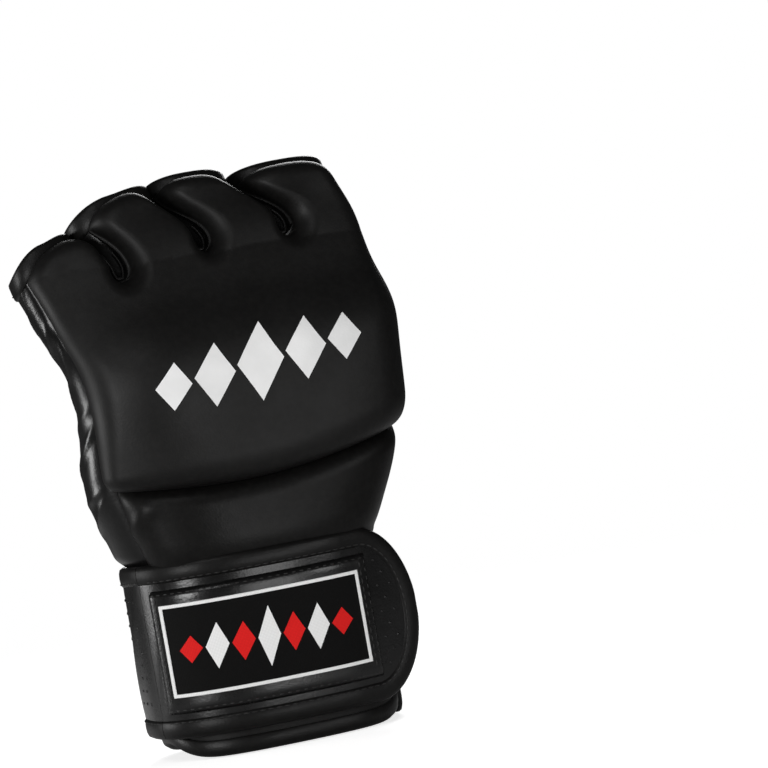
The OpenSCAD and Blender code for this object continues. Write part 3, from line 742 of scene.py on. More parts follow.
def make_materials(colours):
    """All finishes of the glove, from its colours. Leathers have roughness, grain in mm, its strength, gloss
    and coat, cloths roughness, knit in mm, its strength and sheen, wovens roughness, thread and gloss."""
    black, shiny, lining = tuple(colours.leather), tuple(colours.panel), tuple(colours.lining)
    white = tuple(colours.white)
    binding, thread, label = (tuple(c * share for c in black) for share in (0.9, 1.5, 0.5))
    loop, hook = (tuple(c * share for c in lining) for share in (0.8, 1.1))
    MATERIALS.update(
        pad=leather("Satin pad leather", black, 0.5, 0.9, 0.22, 0.2),
        back=leather("Back leather", black, 0.4, 0.9, 0.22, 0.13),
        panel=leather("Glossy panel leather", shiny, 0.27, 1.1, 0.25, 0.27, 0.07),
        strap=leather("Strap leather", shiny, 0.25, 1.0, 0.25, 0.32, 0.08),
        trim=leather("Binding leather", binding, 0.4, 0.8, 0.3, 0.17),
        lining=cloth("Perforated lining", lining, 0.72, 0.9, 0.35, 0.12),
        dots=cloth("Perforations", tuple(colours.dots), 0.6, 0.5, 0.2, 0.0),
        loop=cloth("Loop tape", loop, 0.9, 0.5, 0.9, 0.4),
        hook=cloth("Hook tape", hook, 0.5, 1.3, 0.9, 0.0),
        thread=woven("Sewing thread", thread, 0.5, 0.4),
        label=woven("Woven label", label, 0.75, 0.55, 0.12),
        white=woven("White yarn", white, 0.75, 0.55),
        red=woven("Red yarn", tuple(colours.red), 0.75, 0.55, 0.2),
        print=cloth("White print", white, 0.5, 0.9, 0.08, 0.0),
    )


def material(finish):
    """Material of a finish; all of them are made at the first call."""
    if not MATERIALS:
        make_materials(bpy.context.scene.glove_colours)
    return MATERIALS[finish]


# Bodies and frame nodes

def settle(piece, body, nodes=(), bend_to=None):
    """Attaches a piece to its body, or, where bend_to is given, bakes its place into its mesh instead; hides
    the frame nodes it stands for.
    """
    if bend_to is None:
        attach(piece, body)
    else:
        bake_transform(piece)
    if nodes:
        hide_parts(*nodes)


def flexed(piece, nodes=()):
    """Settles a piece that lies between the cuff and the hand: bakes its place into its mesh and hides its
    frame nodes.
    """
    settle(piece, "cuff", nodes, "hand")


def curled(piece, i, nodes=()):
    """Settles a piece that lies between the hand and finger i: bakes its place into its mesh and hides its
    frame nodes.
    """
    settle(piece, "hand", nodes, "finger_" + FINGERS[i])


def folded(piece, nodes=()):
    """Settles a piece of the closing flap: works out two points at its hinge on the little-finger side, which
    are not used, bakes its place into its mesh and hides its frame nodes.
    """
    ends = [tuple(MM * c for c in wrap(np.array(q), np.array(FOLD_Z), FOLD_T)) for q in FOLD_Q]
    settle(piece, "cuff", nodes, bend_to="strap_flap")


# Sizes and colours

def length_value(name, description, default):
    """Property for a length in metres."""
    return bpy.props.FloatProperty(name=name, description=description, default=default, unit="LENGTH")


def colour_value(name, description, default):
    """Property for a colour."""
    return bpy.props.FloatVectorProperty(
        name=name, description=description, default=default, subtype="COLOR", size=3, min=0.0, max=1.0)


class GloveSizes(bpy.types.PropertyGroup):
    """Sizes a user may change"""
    knuckle_pad: length_value("Knuckle pad", "Full thickness of the knuckle pad", 0.0184)
    backhand_pad: length_value("Back-of-hand pad", "Full thickness of the back-of-hand pad", 0.0112)
    stitch_pitch: length_value("Stitch pitch", "Distance from stitch to stitch", 0.0032)
    dot_pitch: length_value("Perforation pitch", "Distance between perforations of the lining", 0.0041)
    emboss_pitch: length_value("Embossing pitch", "Distance between raised dots of the strap", 0.0058)


class GloveColours(bpy.types.PropertyGroup):
    """Colours a user may change"""
    leather: colour_value("Pad leather", "Satin leather of the pads", (0.0046, 0.0044, 0.0042))
    panel: colour_value("Panel leather", "Glossy leather of palm and strap", (0.0042, 0.0041, 0.0041))
    lining: colour_value("Lining", "Perforated lining cloth", (0.013, 0.013, 0.0137))
    dots: colour_value("Perforations", "Light backing seen through the lining", (0.34, 0.34, 0.34))
    white: colour_value("White", "White yarn and print", (0.94, 0.94, 0.93))
    red: colour_value("Red", "Red yarn and print", (0.78, 0.011, 0.01))


def size_mm(context, key):
    """One of the user's sizes in millimetres."""
    return getattr(context.scene.glove_sizes, key) / MM


# Back pads

def pad_height(i, x, s, full):
    """Pad thickness: full along the hand, eased down towards the fingers and swelling near the little finger,
    rolled down along the seams, the crease, the grooves between the fingers and the top of each lobe."""
    t = full * (1.0 - PAD_LOSS * sum(part * ease((s - low) / reach) for part, low, reach in PAD_SLOPES))
    t = t + SWELL * bell(x - SWELL_X, SWELL_WIDE) * bell(s - SWELL_S, SWELL_LONG)
    left, right = seams(s, BACK)
    reach = mix(*SEAM_ROLL, smooth((s - 150.0) / 44.0))
    low = s - crease(x)
    m = roll((x - left) / (0.72 * reach * (1.0 - 0.4 * bell(low, 18.0)))) * roll((right - x) / reach)
    m = m * mix(SEAM_SINK, 1.0, roll(low / (CREASE_ROLL - 5.5 * bell(x - left, 18.0))))
    for k in range(3):
        m = m * roll((groove_gap(k, x, s) - 0.3) / GROOVE_ROLL, 2.0)
    if i is not None:
        own_left, own_right = strip_edges(i, s, BACK)
        u = (x - own_left) / np.maximum(own_right - own_left, 1e-6)
        m = m * roll((lobe_top(i, u) - s) / LOBE_ROLL)
    return mix(PAD_EDGE, t, m)


def knuckle_point(i, x, s, full, lift=0.0):
    """Outer face of the knuckle pad and its finger lobes: the shell plus the pad's height, leaned towards the
    thumb near the groove ends and sagging a little over the crease."""
    n, dx, dn = shell_base(i, x, s, BACK_SIDE)
    t = pad_height(i, x, s, full)
    share = t / LEAN_THICK
    lean = PAD_LEAN * share * smooth((s - 150.0) / 38.0)
    sag = PAD_SAG * share * bell(s - crease(x), 12.0)
    t = t + lift
    return bend(x + t * dx + lean, n + t * dn, s - sag)


# Column shares of one finger, closer together at its edges
COLUMNS = 0.6 * steps(37) + 0.4 * smooth(steps(37))


def hand_grid(seam, low, rows):
    """x and s over the hand between a lower edge low(x) and the split line, in the fingers' own columns."""
    s = np.array(SPLIT_S)
    columns = [mix(*strip_edges(i, s, seam), COLUMNS[(0 if i == LITTLE else 1):])
               for i in (LITTLE, RING, MIDDLE, INDEX)]
    left, right = seams(s, seam)
    u = ((np.concatenate(columns) - left) / (right - left))[:, None]
    bottom = low(between_seams(np.array(120.0), seam, u))
    s = mix(bottom, SPLIT_S, rows[None, :])
    return between_seams(s, seam, u), s


def finger_grid(i, seam, top, rows):
    """x and s over finger i's strip from the split line to an upper edge top(u)."""
    u = COLUMNS[:, None]
    s = mix(SPLIT_S, top(u), rows[None, :])
    return mix(*strip_edges(i, s, seam), u), s


class GLOVE_OT_knuckle_pad(bpy.types.Operator):
    """Builds the knuckle pad, the four finger lobes that continue it and the row of printed lozenges"""
    bl_idname = "glove.knuckle_pad"
    bl_label = "Knuckle pad and lobes"

    def execute(self, context):
        full = size_mm(context, "knuckle_pad")
        x, s = hand_grid(BACK, lambda x: crease(x) + 0.5, steps(64) ** 1.25)
        pad = self.pad("knuckle_pad", None, x, s, full)
        flexed(pad, ("knuckle_cover", "knuckle_foam"))
        for i, finger in enumerate(FINGERS):
            x, s = finger_grid(i, BACK, lambda u: lobe_top(i, u), 1.0 - (1.0 - steps(54)) ** 1.3)
            lobe = self.pad(finger + "_lobe", i, x, s, full)
            curled(lobe, i, (finger + "_lobe_cover", finger + "_lobe_foam"))
        for k, (at, half_w, half_h) in enumerate(KNUCKLE_PRINT):
            x, s = lozenge((at, PRINT_S + PRINT_LEAN * at), half_w, half_h, PRINT_LEAN)
            outer, inner = (knuckle_point(None, x, s, full, lift) for lift in PRINT_FACES)
            flexed(slab("knuckle_print_%d" % k, outer, inner, "print"))
        return {"FINISHED"}

    def pad(self, name, i, x, s, full):
        """Slab from the shell to the pad's outer face."""
        return faced_slab(name, lambda a, b: knuckle_point(i, a, b, full),
                          lambda a, b: bend(a, shell_base(i, a, b, BACK_SIDE)[0], b), x, s, "pad")


class GLOVE_OT_backhand_pad(bpy.types.Operator):
    """Builds the back-of-hand pad between the strap and the crease"""
    bl_idname = "glove.backhand_pad"
    bl_label = "Back-of-hand pad"

    def execute(self, context):
        u, v = steps(110), steps(44)
        u, v = mix(smooth(u), u, 0.55)[:, None], mix(smooth(v), v, 0.6)[None, :]
        low = UNDER_STRAP_S + 2.0
        s = mix(low, crease(between_seams(np.array(108.0), BACK, u)) - 0.4, v)
        x = between_seams(s, BACK, u)
        n, dx, dn = shell_base(None, x, s, BACK_SIDE)
        t = self.height(x, s, size_mm(context, "backhand_pad"))
        pad = slab("backhand_pad", stack(x + t * dx, ROOT_Y + n + t * dn, s), stack(x, ROOT_Y + n, s), "back")
        flexed(pad, ("backhand_cover", "backhand_foam"))
        return {"FINISHED"}

    def height(self, x, s, full):
        """Pad thickness: rolled down at both seams, at the crease and under the strap, with one fold."""
        left, right = seams(s, BACK)
        m = roll((x - left) / BACK_ROLL_LEFT) * roll((right - x) / BACK_ROLL_RIGHT)
        m = m * mix(SEAM_SINK, 1.0, roll((crease(x) - s) / BACK_ROLL_TOP))
        m = m * mix(STRAP_SINK, 1.0, roll((s - UNDER_STRAP_S) / BACK_ROLL_LOW))
        return mix(BACK_EDGE, full, m) + ridge(x, s, *BACKHAND_FOLD)


# Palm leather

def opening_share(x, s):
    """Place across the palm opening, -1 at the little-finger side and 1 at the thumb side."""
    left, right = seams(s, PALM)
    return np.clip(2.0 * (x - left) / (right - left) - 1.0, -1.0, 1.0)


def opening_far(x, upper):
    """Height furthest from the opening's middle: a shallow parabola above, level below."""
    return np.where(upper, OPENING_TOP - OPENING_BOW * (x - OPENING_X) ** 2, OPENING_LOW)


def opening_edge(x, upper):
    """Edge of the palm opening over x: the upper or lower half of a superellipse."""
    m = opening_share(x, np.array(OPENING_MID))
    arch = (1.0 - np.abs(m) ** OPENING_POWER) ** (1.0 / OPENING_POWER)
    return mix(OPENING_MID, opening_far(x, upper), arch)


def opening_loop(count):
    """Closed line round the palm opening: the same superellipse over a full turn, as x and s."""
    a = turns(count)
    u = (spow(np.cos(a), 2.0 / OPENING_POWER) + 1.0) / 2.0
    far = opening_far(between_seams(np.array(OPENING_MID), PALM, u), np.sin(a) >= 0.0)
    s = mix(OPENING_MID, far, np.abs(spow(np.sin(a), 2.0 / OPENING_POWER)))
    return between_seams(s, PALM, u), s


def palm_point(i, x, s, lift):
    """Point lift outside the palm's shell."""
    n, dx, dn = shell_base(i, x, s, PALM_SIDE)
    return bend(x + lift * dx, n + lift * dn, s)


def palm_face(i, x, s, lift=LEATHER_FACE):
    """Outer face of the palm leather: lifted off the shell, with folds that fade at the heel's seams."""
    heel = ridges(x, s, HEEL_FOLDS) * smooth((1.0 - np.abs(opening_share(x, s))) / HEEL_FADE)
    return palm_point(i, x, s, lift + ridges(x, s, PALM_FOLDS) + heel)


class GLOVE_OT_palm_leather(bpy.types.Operator):
    """Builds the palm leather under the fingers, its four finger parts and the heel panel"""
    bl_idname = "glove.palm_leather"
    bl_label = "Palm leather"

    def execute(self, context):
        rows = steps(40)
        x, s = hand_grid(PALM, lambda x: opening_edge(x, True), rows)
        flexed(self.skin("palm_panel_leather", None, x, s), ("palm_panel",))
        for i, finger in enumerate(FINGERS):
            x, s = finger_grid(i, PALM, lambda u: hem_s(i, u) - 4.0, rows)
            curled(self.skin(finger + "_palm_leather", i, x, s), i)
        u = steps(120)[:, None]
        top = opening_edge(between_seams(np.array(OPENING_MID), PALM, u), False)
        s = mix(UNDER_STRAP_S, top, steps(36)[None, :])
        x = between_seams(s, PALM, u)
        heel = slab("heel_leather", palm_face(None, x, s), palm_point(None, x, s, LEATHER_BACK), "panel")
        flexed(heel, ("heel_panel",))
        return {"FINISHED"}

    def skin(self, name, i, x, s):
        """Slab between the leather's two faces."""
        return faced_slab(name, lambda a, b: palm_face(i, a, b),
                          lambda a, b: palm_point(i, a, b, LEATHER_BACK), x, s, "panel", -1.0)


class GLOVE_OT_opening_welt(bpy.types.Operator):
    """Builds the welt round the palm opening and its rows of stitches"""
    bl_idname = "glove.opening_welt"
    bl_label = "Palm opening welt"

    def execute(self, context):
        x, s = opening_loop(240)
        centre = palm_point(None, x, s, WELT_T)
        out = unit(palm_point(None, x, s, 1.0) - centre)
        ahead = unit(np.roll(centre, -1, axis=0) - np.roll(centre, 1, axis=0))
        rings = rings_along(centre, unit(np.cross(out, ahead)), out, *WELT_HALF, 12, WELT_SQUARE)
        welt = sweep("opening_welt", rings, "trim", True, 70.0)
        flexed(welt, ("palm_binding", "heel_binding"))
        lines = []
        for part, rise in ((slice(18, 112), WELT_STITCH), (slice(136, 214), -WELT_STITCH)):
            at, above = (palm_face(None, x[part], s[part] + rise, lift) for lift in (1.75, 2.75))
            lines.append((at, unit(above - at)))
        flexed(stitches("opening_stitches", lines, size_mm(context, "stitch_pitch")))
        return {"FINISHED"}


# Side panels

def side_point(i, s, w, hand_a, tube_a, lift, folds):
    """Side panel over share w between two seams: hand oval below, the outer sleeve's side above, with
    slanting bell-curve folds, and at the little finger a swell above the strap."""
    a = mix(*hand_a, w)
    folded_face = lift > 0.5
    lift = lift * mix(0.25, 1.0, roll(w / SIDE_ROLL) * roll((1.0 - w) / SIDE_ROLL))
    p = hand(s, a, LINING_OUT + lift)
    mid, half = sleeve(i, s)
    tx, tn = oval(np.radians(mix(*tube_a, w)), half, HALF_DEPTH, lift - 0.4)
    g = outer_share(s)
    x = mix(p[..., 0], mid + tx, g) + (thumb_bulge(s) if i == INDEX else 0.0)
    n = mix(p[..., 1] - ROOT_Y, tn, g)
    bulge = np.sin(math.pi * w) ** 0.7
    t = 0.0
    if folded_face:
        t = bulge * sum(high * bell(s - z - slope * (w - 0.4), wide) for z, slope, wide, high in folds)
    if i == LITTLE:
        rise = smooth((s - UNDER_STRAP_S) / 10.0) * (1.0 - smooth((s - 165.0) / 25.0))
        t = t + SIDE_SWELL * rise * (1.0 - 0.75 * smooth((s - 98.0) / 45.0)) * bulge
    a = np.radians(a)
    return bend(x + t * spow(np.cos(a), 1.2), n + t * spow(np.sin(a), 1.2), s)


class GLOVE_OT_side_panels(bpy.types.Operator):
    """Builds the creased side panels at the little finger and at the thumb"""
    bl_idname = "glove.side_panels"
    bl_label = "Side panels"

    def execute(self, context):
        w = steps(26)[:, None]
        for side, (i, hand_a, tube_a, folds, top) in SIDE_PANELS.items():
            s = np.linspace(UNDER_STRAP_S + 1.0, top, 180)[None, :]
            outer, inner = (side_point(i, s, w, hand_a, tube_a, lift, folds) for lift in SIDE_FACES)
            self.split(side, outer, inner, int(np.searchsorted(s[0], SPLIT_S)), i)
        return {"FINISHED"}

    def split(self, side, outer, inner, cut, i):
        """Cuts a side panel at the split line into the part on the hand and the part on the finger. Both
        parts share the normals of the whole, from the differences along its grid."""
        normals = unit(np.cross(np.gradient(outer, axis=0), np.gradient(outer, axis=1)))
        middle = (len(outer) // 2, cut)
        if (normals[middle] * (outer[middle] - inner[middle])).sum() < 0.0:
            normals = -normals
        parts = []
        for end, rows in (("", slice(None, cut + 1)), ("_finger", slice(cut, None))):
            name = side + "_side_leather" + end
            parts.append(slab(name, outer[:, rows], inner[:, rows], "panel", normals=normals[:, rows]))
        flexed(parts[0], (side + "_side_lower", side + "_side_upper"))
        curled(parts[1], i)


# Finger sleeves, hems and webs

def tube_point(i, a, s, grow):
    """Point of finger i's sleeve at angle a, grow outside its nominal oval."""
    mid, half = sleeve(i, s)
    x, n = oval(a, half, HALF_DEPTH, grow)
    return bend(mid + x, n, s)


class GLOVE_OT_finger_sleeves(bpy.types.Operator):
    """Builds the four finger sleeves with their hems and stitches, and the webs between them"""
    bl_idname = "glove.finger_sleeves"
    bl_label = "Finger sleeves"

    def execute(self, context):
        a = turns(96)[:, None]
        u = (np.cos(a) + 1.0) / 2.0
        rise = {INDEX: 14.0 * u**4, LITTLE: 9.0 * (1.0 - u) ** 4}
        arc = np.radians(np.linspace(8.0, 172.0, 90))
        for i, finger in enumerate(FINGERS):
            low = SLEEVE_LOW[i] + rise.get(i, 0.0)
            s = mix(low, hem_s(i, u) - 1.5, steps(30)[None, :])
            outer, inner = (tube_point(i, a, s, grow) for grow in SLEEVE_FACES)
            tube = slab(finger + "_sleeve_leather", outer, inner, "panel", True)
            curled(tube, i, (finger + "_sleeve",))
            edge = tube_point(i, a, hem_s(i, u) + HEM_PROFILE[None, :, 1], HEM_PROFILE[None, :, 0])
            curled(sweep(finger + "_hem_roll", edge, "trim", True), i, (finger + "_hem",))
            line = hem_s(i, (np.cos(arc) + 1.0) / 2.0) - HEM_STITCH
            at, above = (tube_point(i, arc, line, grow) for grow in (1.0, 2.0))
            row = [(at, unit(above - at))]
            sewn = stitches(finger + "_hem_stitches", row, size_mm(context, "stitch_pitch"))
            curled(sewn, i)
        for k in range(3):
            settle(self.web(k), "hand", ("finger_webs",) if k == 0 else ())
            settle(self.welt(k), "hand")
        return {"FINISHED"}

    def web(self, k):
        """Saddle between two sleeves: a parabola climbing both sleeves, from the back to the palm."""
        u, v = steps(17, -1.0)[:, None], steps(25, -1.0)[None, :]
        n = WEB_MID + WEB_DEEP * v
        s = GROOVE_S[k] + WEB_UP + WEB_CLIMB * u**2 - WEB_DROP * v**2
        line = mix(groove_x(k, s, True), groove_x(k, s, False), (v + 1.0) / 2.0)
        x = line + (WEB_HALF - WEB_LOSS * smooth(v)) * u
        name = "web_%s_%s" % (FINGERS[k], FINGERS[k + 1])
        return slab(name, bend(x, n, s), bend(x, n * 0.98, s - WEB_THICK), "panel")

    def welt(self, k):
        """Thin welt round the end of a groove on the back: a U whose legs climb by a power of the run."""
        run = steps(41, -1.0)
        s = GROOVE_S[k] + END_UP + END_LEGS * np.abs(run) ** 2.2
        x = groove_x(k, s, True) + END_HALF * spow(run, 0.45) + END_SHIFT
        path = bend(x, END_DEPTH + END_SLOPE * (s - GROOVE_S[k]), s)
        ahead = unit(np.gradient(path, axis=0))
        side = unit(np.cross(ahead, np.array([0.0, -1.0, 0.0])))
        rings = rings_along(path, side, np.cross(side, ahead), END_R, END_R, 8)
        return sweep("groove_welt_%s" % FINGERS[k], rings, "trim")


# Lining

def lining_point(a, z, t):
    """Lining of the hand: the inner face, pushed in by two bell-curve folds where the hand bends."""
    x = hand(z, a, 0.0)[..., 0]
    fold = sum(deep * bell(z - at - slope * (x - CREASE_X), wide) for deep, at, slope, wide in LINING_FOLDS)
    return hand(z, a, t - fold * smooth((a - 190.0) / 30.0) * smooth((350.0 - a) / 30.0))


class GLOVE_OT_lining(bpy.types.Operator):
    """Builds the perforated lining seen through the palm opening"""
    bl_idname = "glove.lining"
    bl_label = "Perforated lining"

    def execute(self, context):
        a, z = np.linspace(140.0, 384.5, 150)[:, None], np.linspace(UNDER_STRAP_S + 2.0, 186.0, 110)[None, :]
        skin = slab("hand_lining_cloth", *(lining_point(a, z, t) for t in LINING_FACES), "lining")
        flexed(skin, ("hand_lining", "backhand_lining"))
        a, z = self.holes(size_mm(context, "dot_pitch"))
        t = LINING_FACES[1]
        point = lining_point(a, z, t)
        side = unit(lining_point(a + 0.2, z, t) - lining_point(a - 0.2, z, t))
        up = unit(lining_point(a, z + 0.2, t) - lining_point(a, z - 0.2, t))
        normal = unit(np.cross(up, side))
        outward = (normal * (point - hand(z, a, 3.0))).sum(axis=-1, keepdims=True)
        normal = normal * np.where(outward < 0.0, -1.0, 1.0)
        shape, faces = dome_shape(*HOLE)
        axes = (side, np.cross(normal, side), normal)
        flexed(repeat_shape("lining_perforations", shape, faces, point, axes, "dots"))
        return {"FINISHED"}

    def holes(self, pitch):
        """Angles and heights of the perforations: rows a triangle's height apart, every other one shifted by
        half a pitch."""
        fine = np.linspace(168.0, 362.0, 600)
        rows = []
        for k, level in enumerate(np.arange(84.0, 176.0, pitch * ROW_PITCH)):
            length = run_length(lining_point(fine, np.full(600, level), LINING_FACES[1]))
            at = np.arange(pitch * (0.5 if k % 2 else 1.0), length[-1], pitch)
            rows.append(np.stack([np.interp(at, length, fine), np.full(len(at), level)]))
        return np.concatenate(rows, axis=1)


# Cuff

def cuff_point(a, t, z):
    """Point of the cuff at angle a and height z, t outside its inner face."""
    return stack(*oval(a, *WRIST_HALF, t), z)


def cuff_low(a):
    """Lower edge of the cuff: level, climbing at both sides to rounded corners."""
    return 6.0 * np.abs(np.cos(a)) ** 10.0


class GLOVE_OT_cuff(bpy.types.Operator):
    """Builds the cuff's cover, lining and edge binding"""
    bl_idname = "glove.cuff"
    bl_label = "Cuff"

    def execute(self, context):
        a, v = turns(160)[:, None], steps(30)[None, :]
        z = mix(cuff_low(a) + 2.0, CUFF_TOP, v)
        outer = cuff_point(a, CUFF_FACE + CUFF_PUFF * roll(v / 0.2), z)
        cover = slab("cuff_cover_leather", outer, cuff_point(a, CUFF_BACK, z), "pad", True)
        settle(cover, "cuff", ("cuff_cover", "cuff_foam"))
        lining = slab("cuff_lining_cloth", *(cuff_point(a, t, z) for t in CUFF_LINING), "lining", True)
        settle(lining, "cuff", ("cuff_lining",))
        rings = cuff_point(a, CUFF_PROFILE[None, :, 0], cuff_low(a) + CUFF_PROFILE[None, :, 1])
        settle(sweep("cuff_edge_binding", rings, "trim", True), "cuff", ("cuff_binding",))
        return {"FINISHED"}


# Strap

def strap_path():
    """Line of the strap outside the cuff's inner face, from its sewn end round the little-finger side and the
    back, then straight on to the tab; with normals, and lengths counted from the hinge."""
    a = np.radians(np.linspace(-13.0, 300.0, 627))
    line = np.stack(oval(a, *WRIST_HALF, STRAP_T), axis=-1)
    normals = np.stack(oval(a, *WRIST_HALF, STRAP_T + 1.0), axis=-1) - line
    run = np.linspace(0.5, 30.0, 60)[:, None]
    line = np.concatenate([line, line[-1] + run * unit(line[-1] - line[-2])])
    normals = np.concatenate([normals, np.repeat(normals[-1:], 60, axis=0)])
    q = run_length(line)
    return q - np.interp(math.radians(197.0), a, q[:len(a)]), line, normals, np.degrees(a)


STRAP_Q, STRAP_LINE, STRAP_NORMALS, STRAP_A = strap_path()


def strap_at(a):
    """Length along the strap at angle a of the cuff."""
    return float(np.interp(a, STRAP_A, STRAP_Q[:len(STRAP_A)]))


def flap_at(x):
    """Length along the flap at a place across the back."""
    on_back = STRAP_Q > 0.0
    return float(np.interp(x, STRAP_LINE[on_back, 0], STRAP_Q[on_back]))


SEWN_Q, TIP_Q = strap_at(-12.0), STRAP_Q[-1]
TAB_Q, LABEL_Q = flap_at(STRAP_LINE[-1, 0] - 22.0), flap_at(-8.2)


def along_strap(q):
    """Place and normal of the strap's line at length q, between its points."""
    return [np.interp(q, STRAP_Q, values) for values in (*STRAP_LINE.T, *STRAP_NORMALS.T)]


def wrap(q, z, t):
    """Point at length q along the strap and height z, t outside the cuff's inner face."""
    x, y, nx, ny = along_strap(q)
    return stack(x + (t - STRAP_T) * nx, y + (t - STRAP_T) * ny, z)


def wrap_line(q, z, t):
    """Places on the strap with their outward normals."""
    q, z = np.broadcast_arrays(np.asarray(q, float), np.asarray(z, float))
    _, _, nx, ny = along_strap(q)
    return wrap(q, z, t), unit(stack(nx, ny, 0.0))


def inset(q, z, depth):
    """Line on the strap moved to its left by depth, across its own direction."""
    dq, dz = np.gradient(q), np.gradient(z)
    g = np.hypot(dq, dz)
    return q - dz / g * depth, z + dq / g * depth


def bind(name, q, z, sunk=0.0):
    """Folded binding along an edge of the strap: its profile is set in from the edge and up from the cuff,
    less how far the strap is sunk there."""
    rows = [inset(q, z, depth) for depth in BINDING[:, 0]]
    q_rows, z_rows = (np.stack(part, axis=-1) for part in zip(*rows))
    rings = wrap(q_rows, z_rows, BINDING[None, :, 1] - np.reshape(sunk + 0.0 * q, (-1, 1)))
    return sweep(name, rings, "trim", sharp=60.0)


def emboss(name, q, z, t, body):
    """Small embossed domes on the strap at the places q, z, standing on height t."""
    point, normal = wrap_line(q, z, t)
    up = np.broadcast_to(np.array([0.0, 0.0, 1.0]), normal.shape)
    shape, faces = dome_shape(*DOT)
    dots = repeat_shape(name, shape, faces, point, (np.cross(up, normal), up, normal), "strap")
    settle(dots, body)


def dot_grid(first, last, pitch):
    """Staggered grid of places on the strap between two ends."""
    along, up = np.arange(int((last - first) / pitch) + 1)[:, None], np.arange(int(80.0 / pitch))[None, :]
    return np.broadcast_arrays(first + (along + 0.5 * (up % 2)) * pitch, 8.0 + up * pitch * ROW_PITCH)


def band_low(q):
    """Lower edge of the sewn strap, which climbs to the flap's lower edge near the hinge."""
    return BAND_LOW + BAND_CLIMB * smooth((q + 78.0) / 52.0)


def band_high(q):
    """Upper edge of the sewn strap, a little higher near the hinge and lower at its sewn-down end."""
    drop = BAND_DROP * (1.0 - smooth((q - STRAP_Q[0]) / 30.0))
    return BAND_HIGH + BAND_LIFT * smooth((q + 30.0) / 30.0) - drop


def band_sink(q):
    """How far the sewn-down end lies closer to the cuff."""
    return BAND_SINK * (1.0 - smooth((q - SEWN_Q - 3.0) / 26.0))


def band_corner(q):
    """Drop of the strap's edges in the rounded corners of its sewn-down end: a circle's height."""
    into = np.clip(CORNER - (q - SEWN_Q), 0.0, CORNER)
    return CORNER - np.sqrt(CORNER**2 - into**2)


def band_outline():
    """Edge of the sewn strap from the upper hinge corner round the sewn-down end to the lower one."""
    run = np.linspace(SEWN_Q + CORNER, -0.1, 120)
    turn = np.radians(np.linspace(90.0, 180.0, 13)[1:-1])
    top, low = band_high(run[0]) - CORNER, band_low(run[0]) + CORNER
    round_q = SEWN_Q + CORNER * (1.0 + np.cos(turn))
    q = np.concatenate([run[::-1], round_q, np.full(30, SEWN_Q), round_q[::-1], run])
    z = np.concatenate([band_high(run[::-1]), top + CORNER * np.sin(turn), np.linspace(top, low, 30),
                        low - CORNER * np.sin(turn[::-1]), band_low(run)])
    return q, z


class GLOVE_OT_palm_strap(bpy.types.Operator):
    """Builds the sewn part of the strap across the palm side, with bindings, embossed dots and its print"""
    bl_idname = "glove.palm_strap"
    bl_label = "Palm strap"

    def execute(self, context):
        q, v = np.linspace(SEWN_Q, -0.1, 170)[:, None], steps(40)[None, :]
        z = mix(band_low(q) + band_corner(q) + 1.0, band_high(q) - band_corner(q) - 1.0, v)
        puff = BAND_PUFF * roll(v / 0.25) * roll((1.0 - v) / 0.25)
        waves = ridges(q, z, BAND_FOLDS) + ridges(q - SEWN_Q, z, END_FOLDS)
        sunk = band_sink(q)
        band = slab("strap_band_leather", wrap(q, z, BAND_FACE + puff + waves - sunk),
                    wrap(q, z, STRAP_BACK - 0.6 * sunk), "strap")
        settle(band, "cuff", ("strap_band", "strap_band_lining", "strap_anchor"))
        edge = band_outline()
        trim = bind("strap_band_edge_binding", *edge, band_sink(edge[0]))
        settle(trim, "cuff", ("strap_band_binding",))
        q, z = dot_grid(SEWN_Q + 13.0, -6.0, size_mm(context, "emboss_pitch"))
        keep = (z > band_low(q) + DOTS_IN) & (z < band_high(q) - DOTS_IN) & (q < -4.0)
        emboss("strap_embossing", q[keep], z[keep], BAND_DOTS - band_sink(q[keep]), "cuff")
        q, z = inset(*edge, STITCH_IN)
        end = SEWN_Q + 10.0
        lines = [wrap_line(q, z, BAND_STITCH - band_sink(q)),
                 wrap_line(end, np.linspace(12.0, 60.0, 40), END_STITCH - band_sink(end))]
        settle(stitches("strap_stitches", lines, size_mm(context, "stitch_pitch")), "cuff")
        for k in range(7):
            half = BAND_PRINT_HALF[k % 2]
            q, z = lozenge((strap_at(BAND_PRINT_A) + BAND_PRINT_PITCH * k, 42.0), half, half * 1.35)
            mark = slab("strap_print_%d" % k, *(wrap(q, z, t) for t in BAND_PRINT), ("print", "red")[k % 2])
            settle(mark, "cuff")
        return {"FINISHED"}


def flap_half(q):
    """Half height of the flap: level, then a half ellipse to the end of the tab."""
    into = np.clip(q - TAB_Q, 0.0, None) / (TIP_Q - TAB_Q)
    return FLAP_HALF * np.sqrt(np.clip(1.0 - into**2, 0.0, 1.0))


def flap_outline():
    """Edge of the flap from its lower hinge corner round the half ellipse of the tab to the upper one."""
    run, level = np.linspace(0.2, TAB_Q, 90), np.full(90, FLAP_HALF)
    turn = np.radians(np.linspace(-90.0, 90.0, 61)[1:-1])
    q = np.concatenate([run, TAB_Q + (TIP_Q - TAB_Q) * np.cos(turn), run[::-1]])
    return q, FLAP_MID + np.concatenate([-level, FLAP_HALF * np.sin(turn), level])


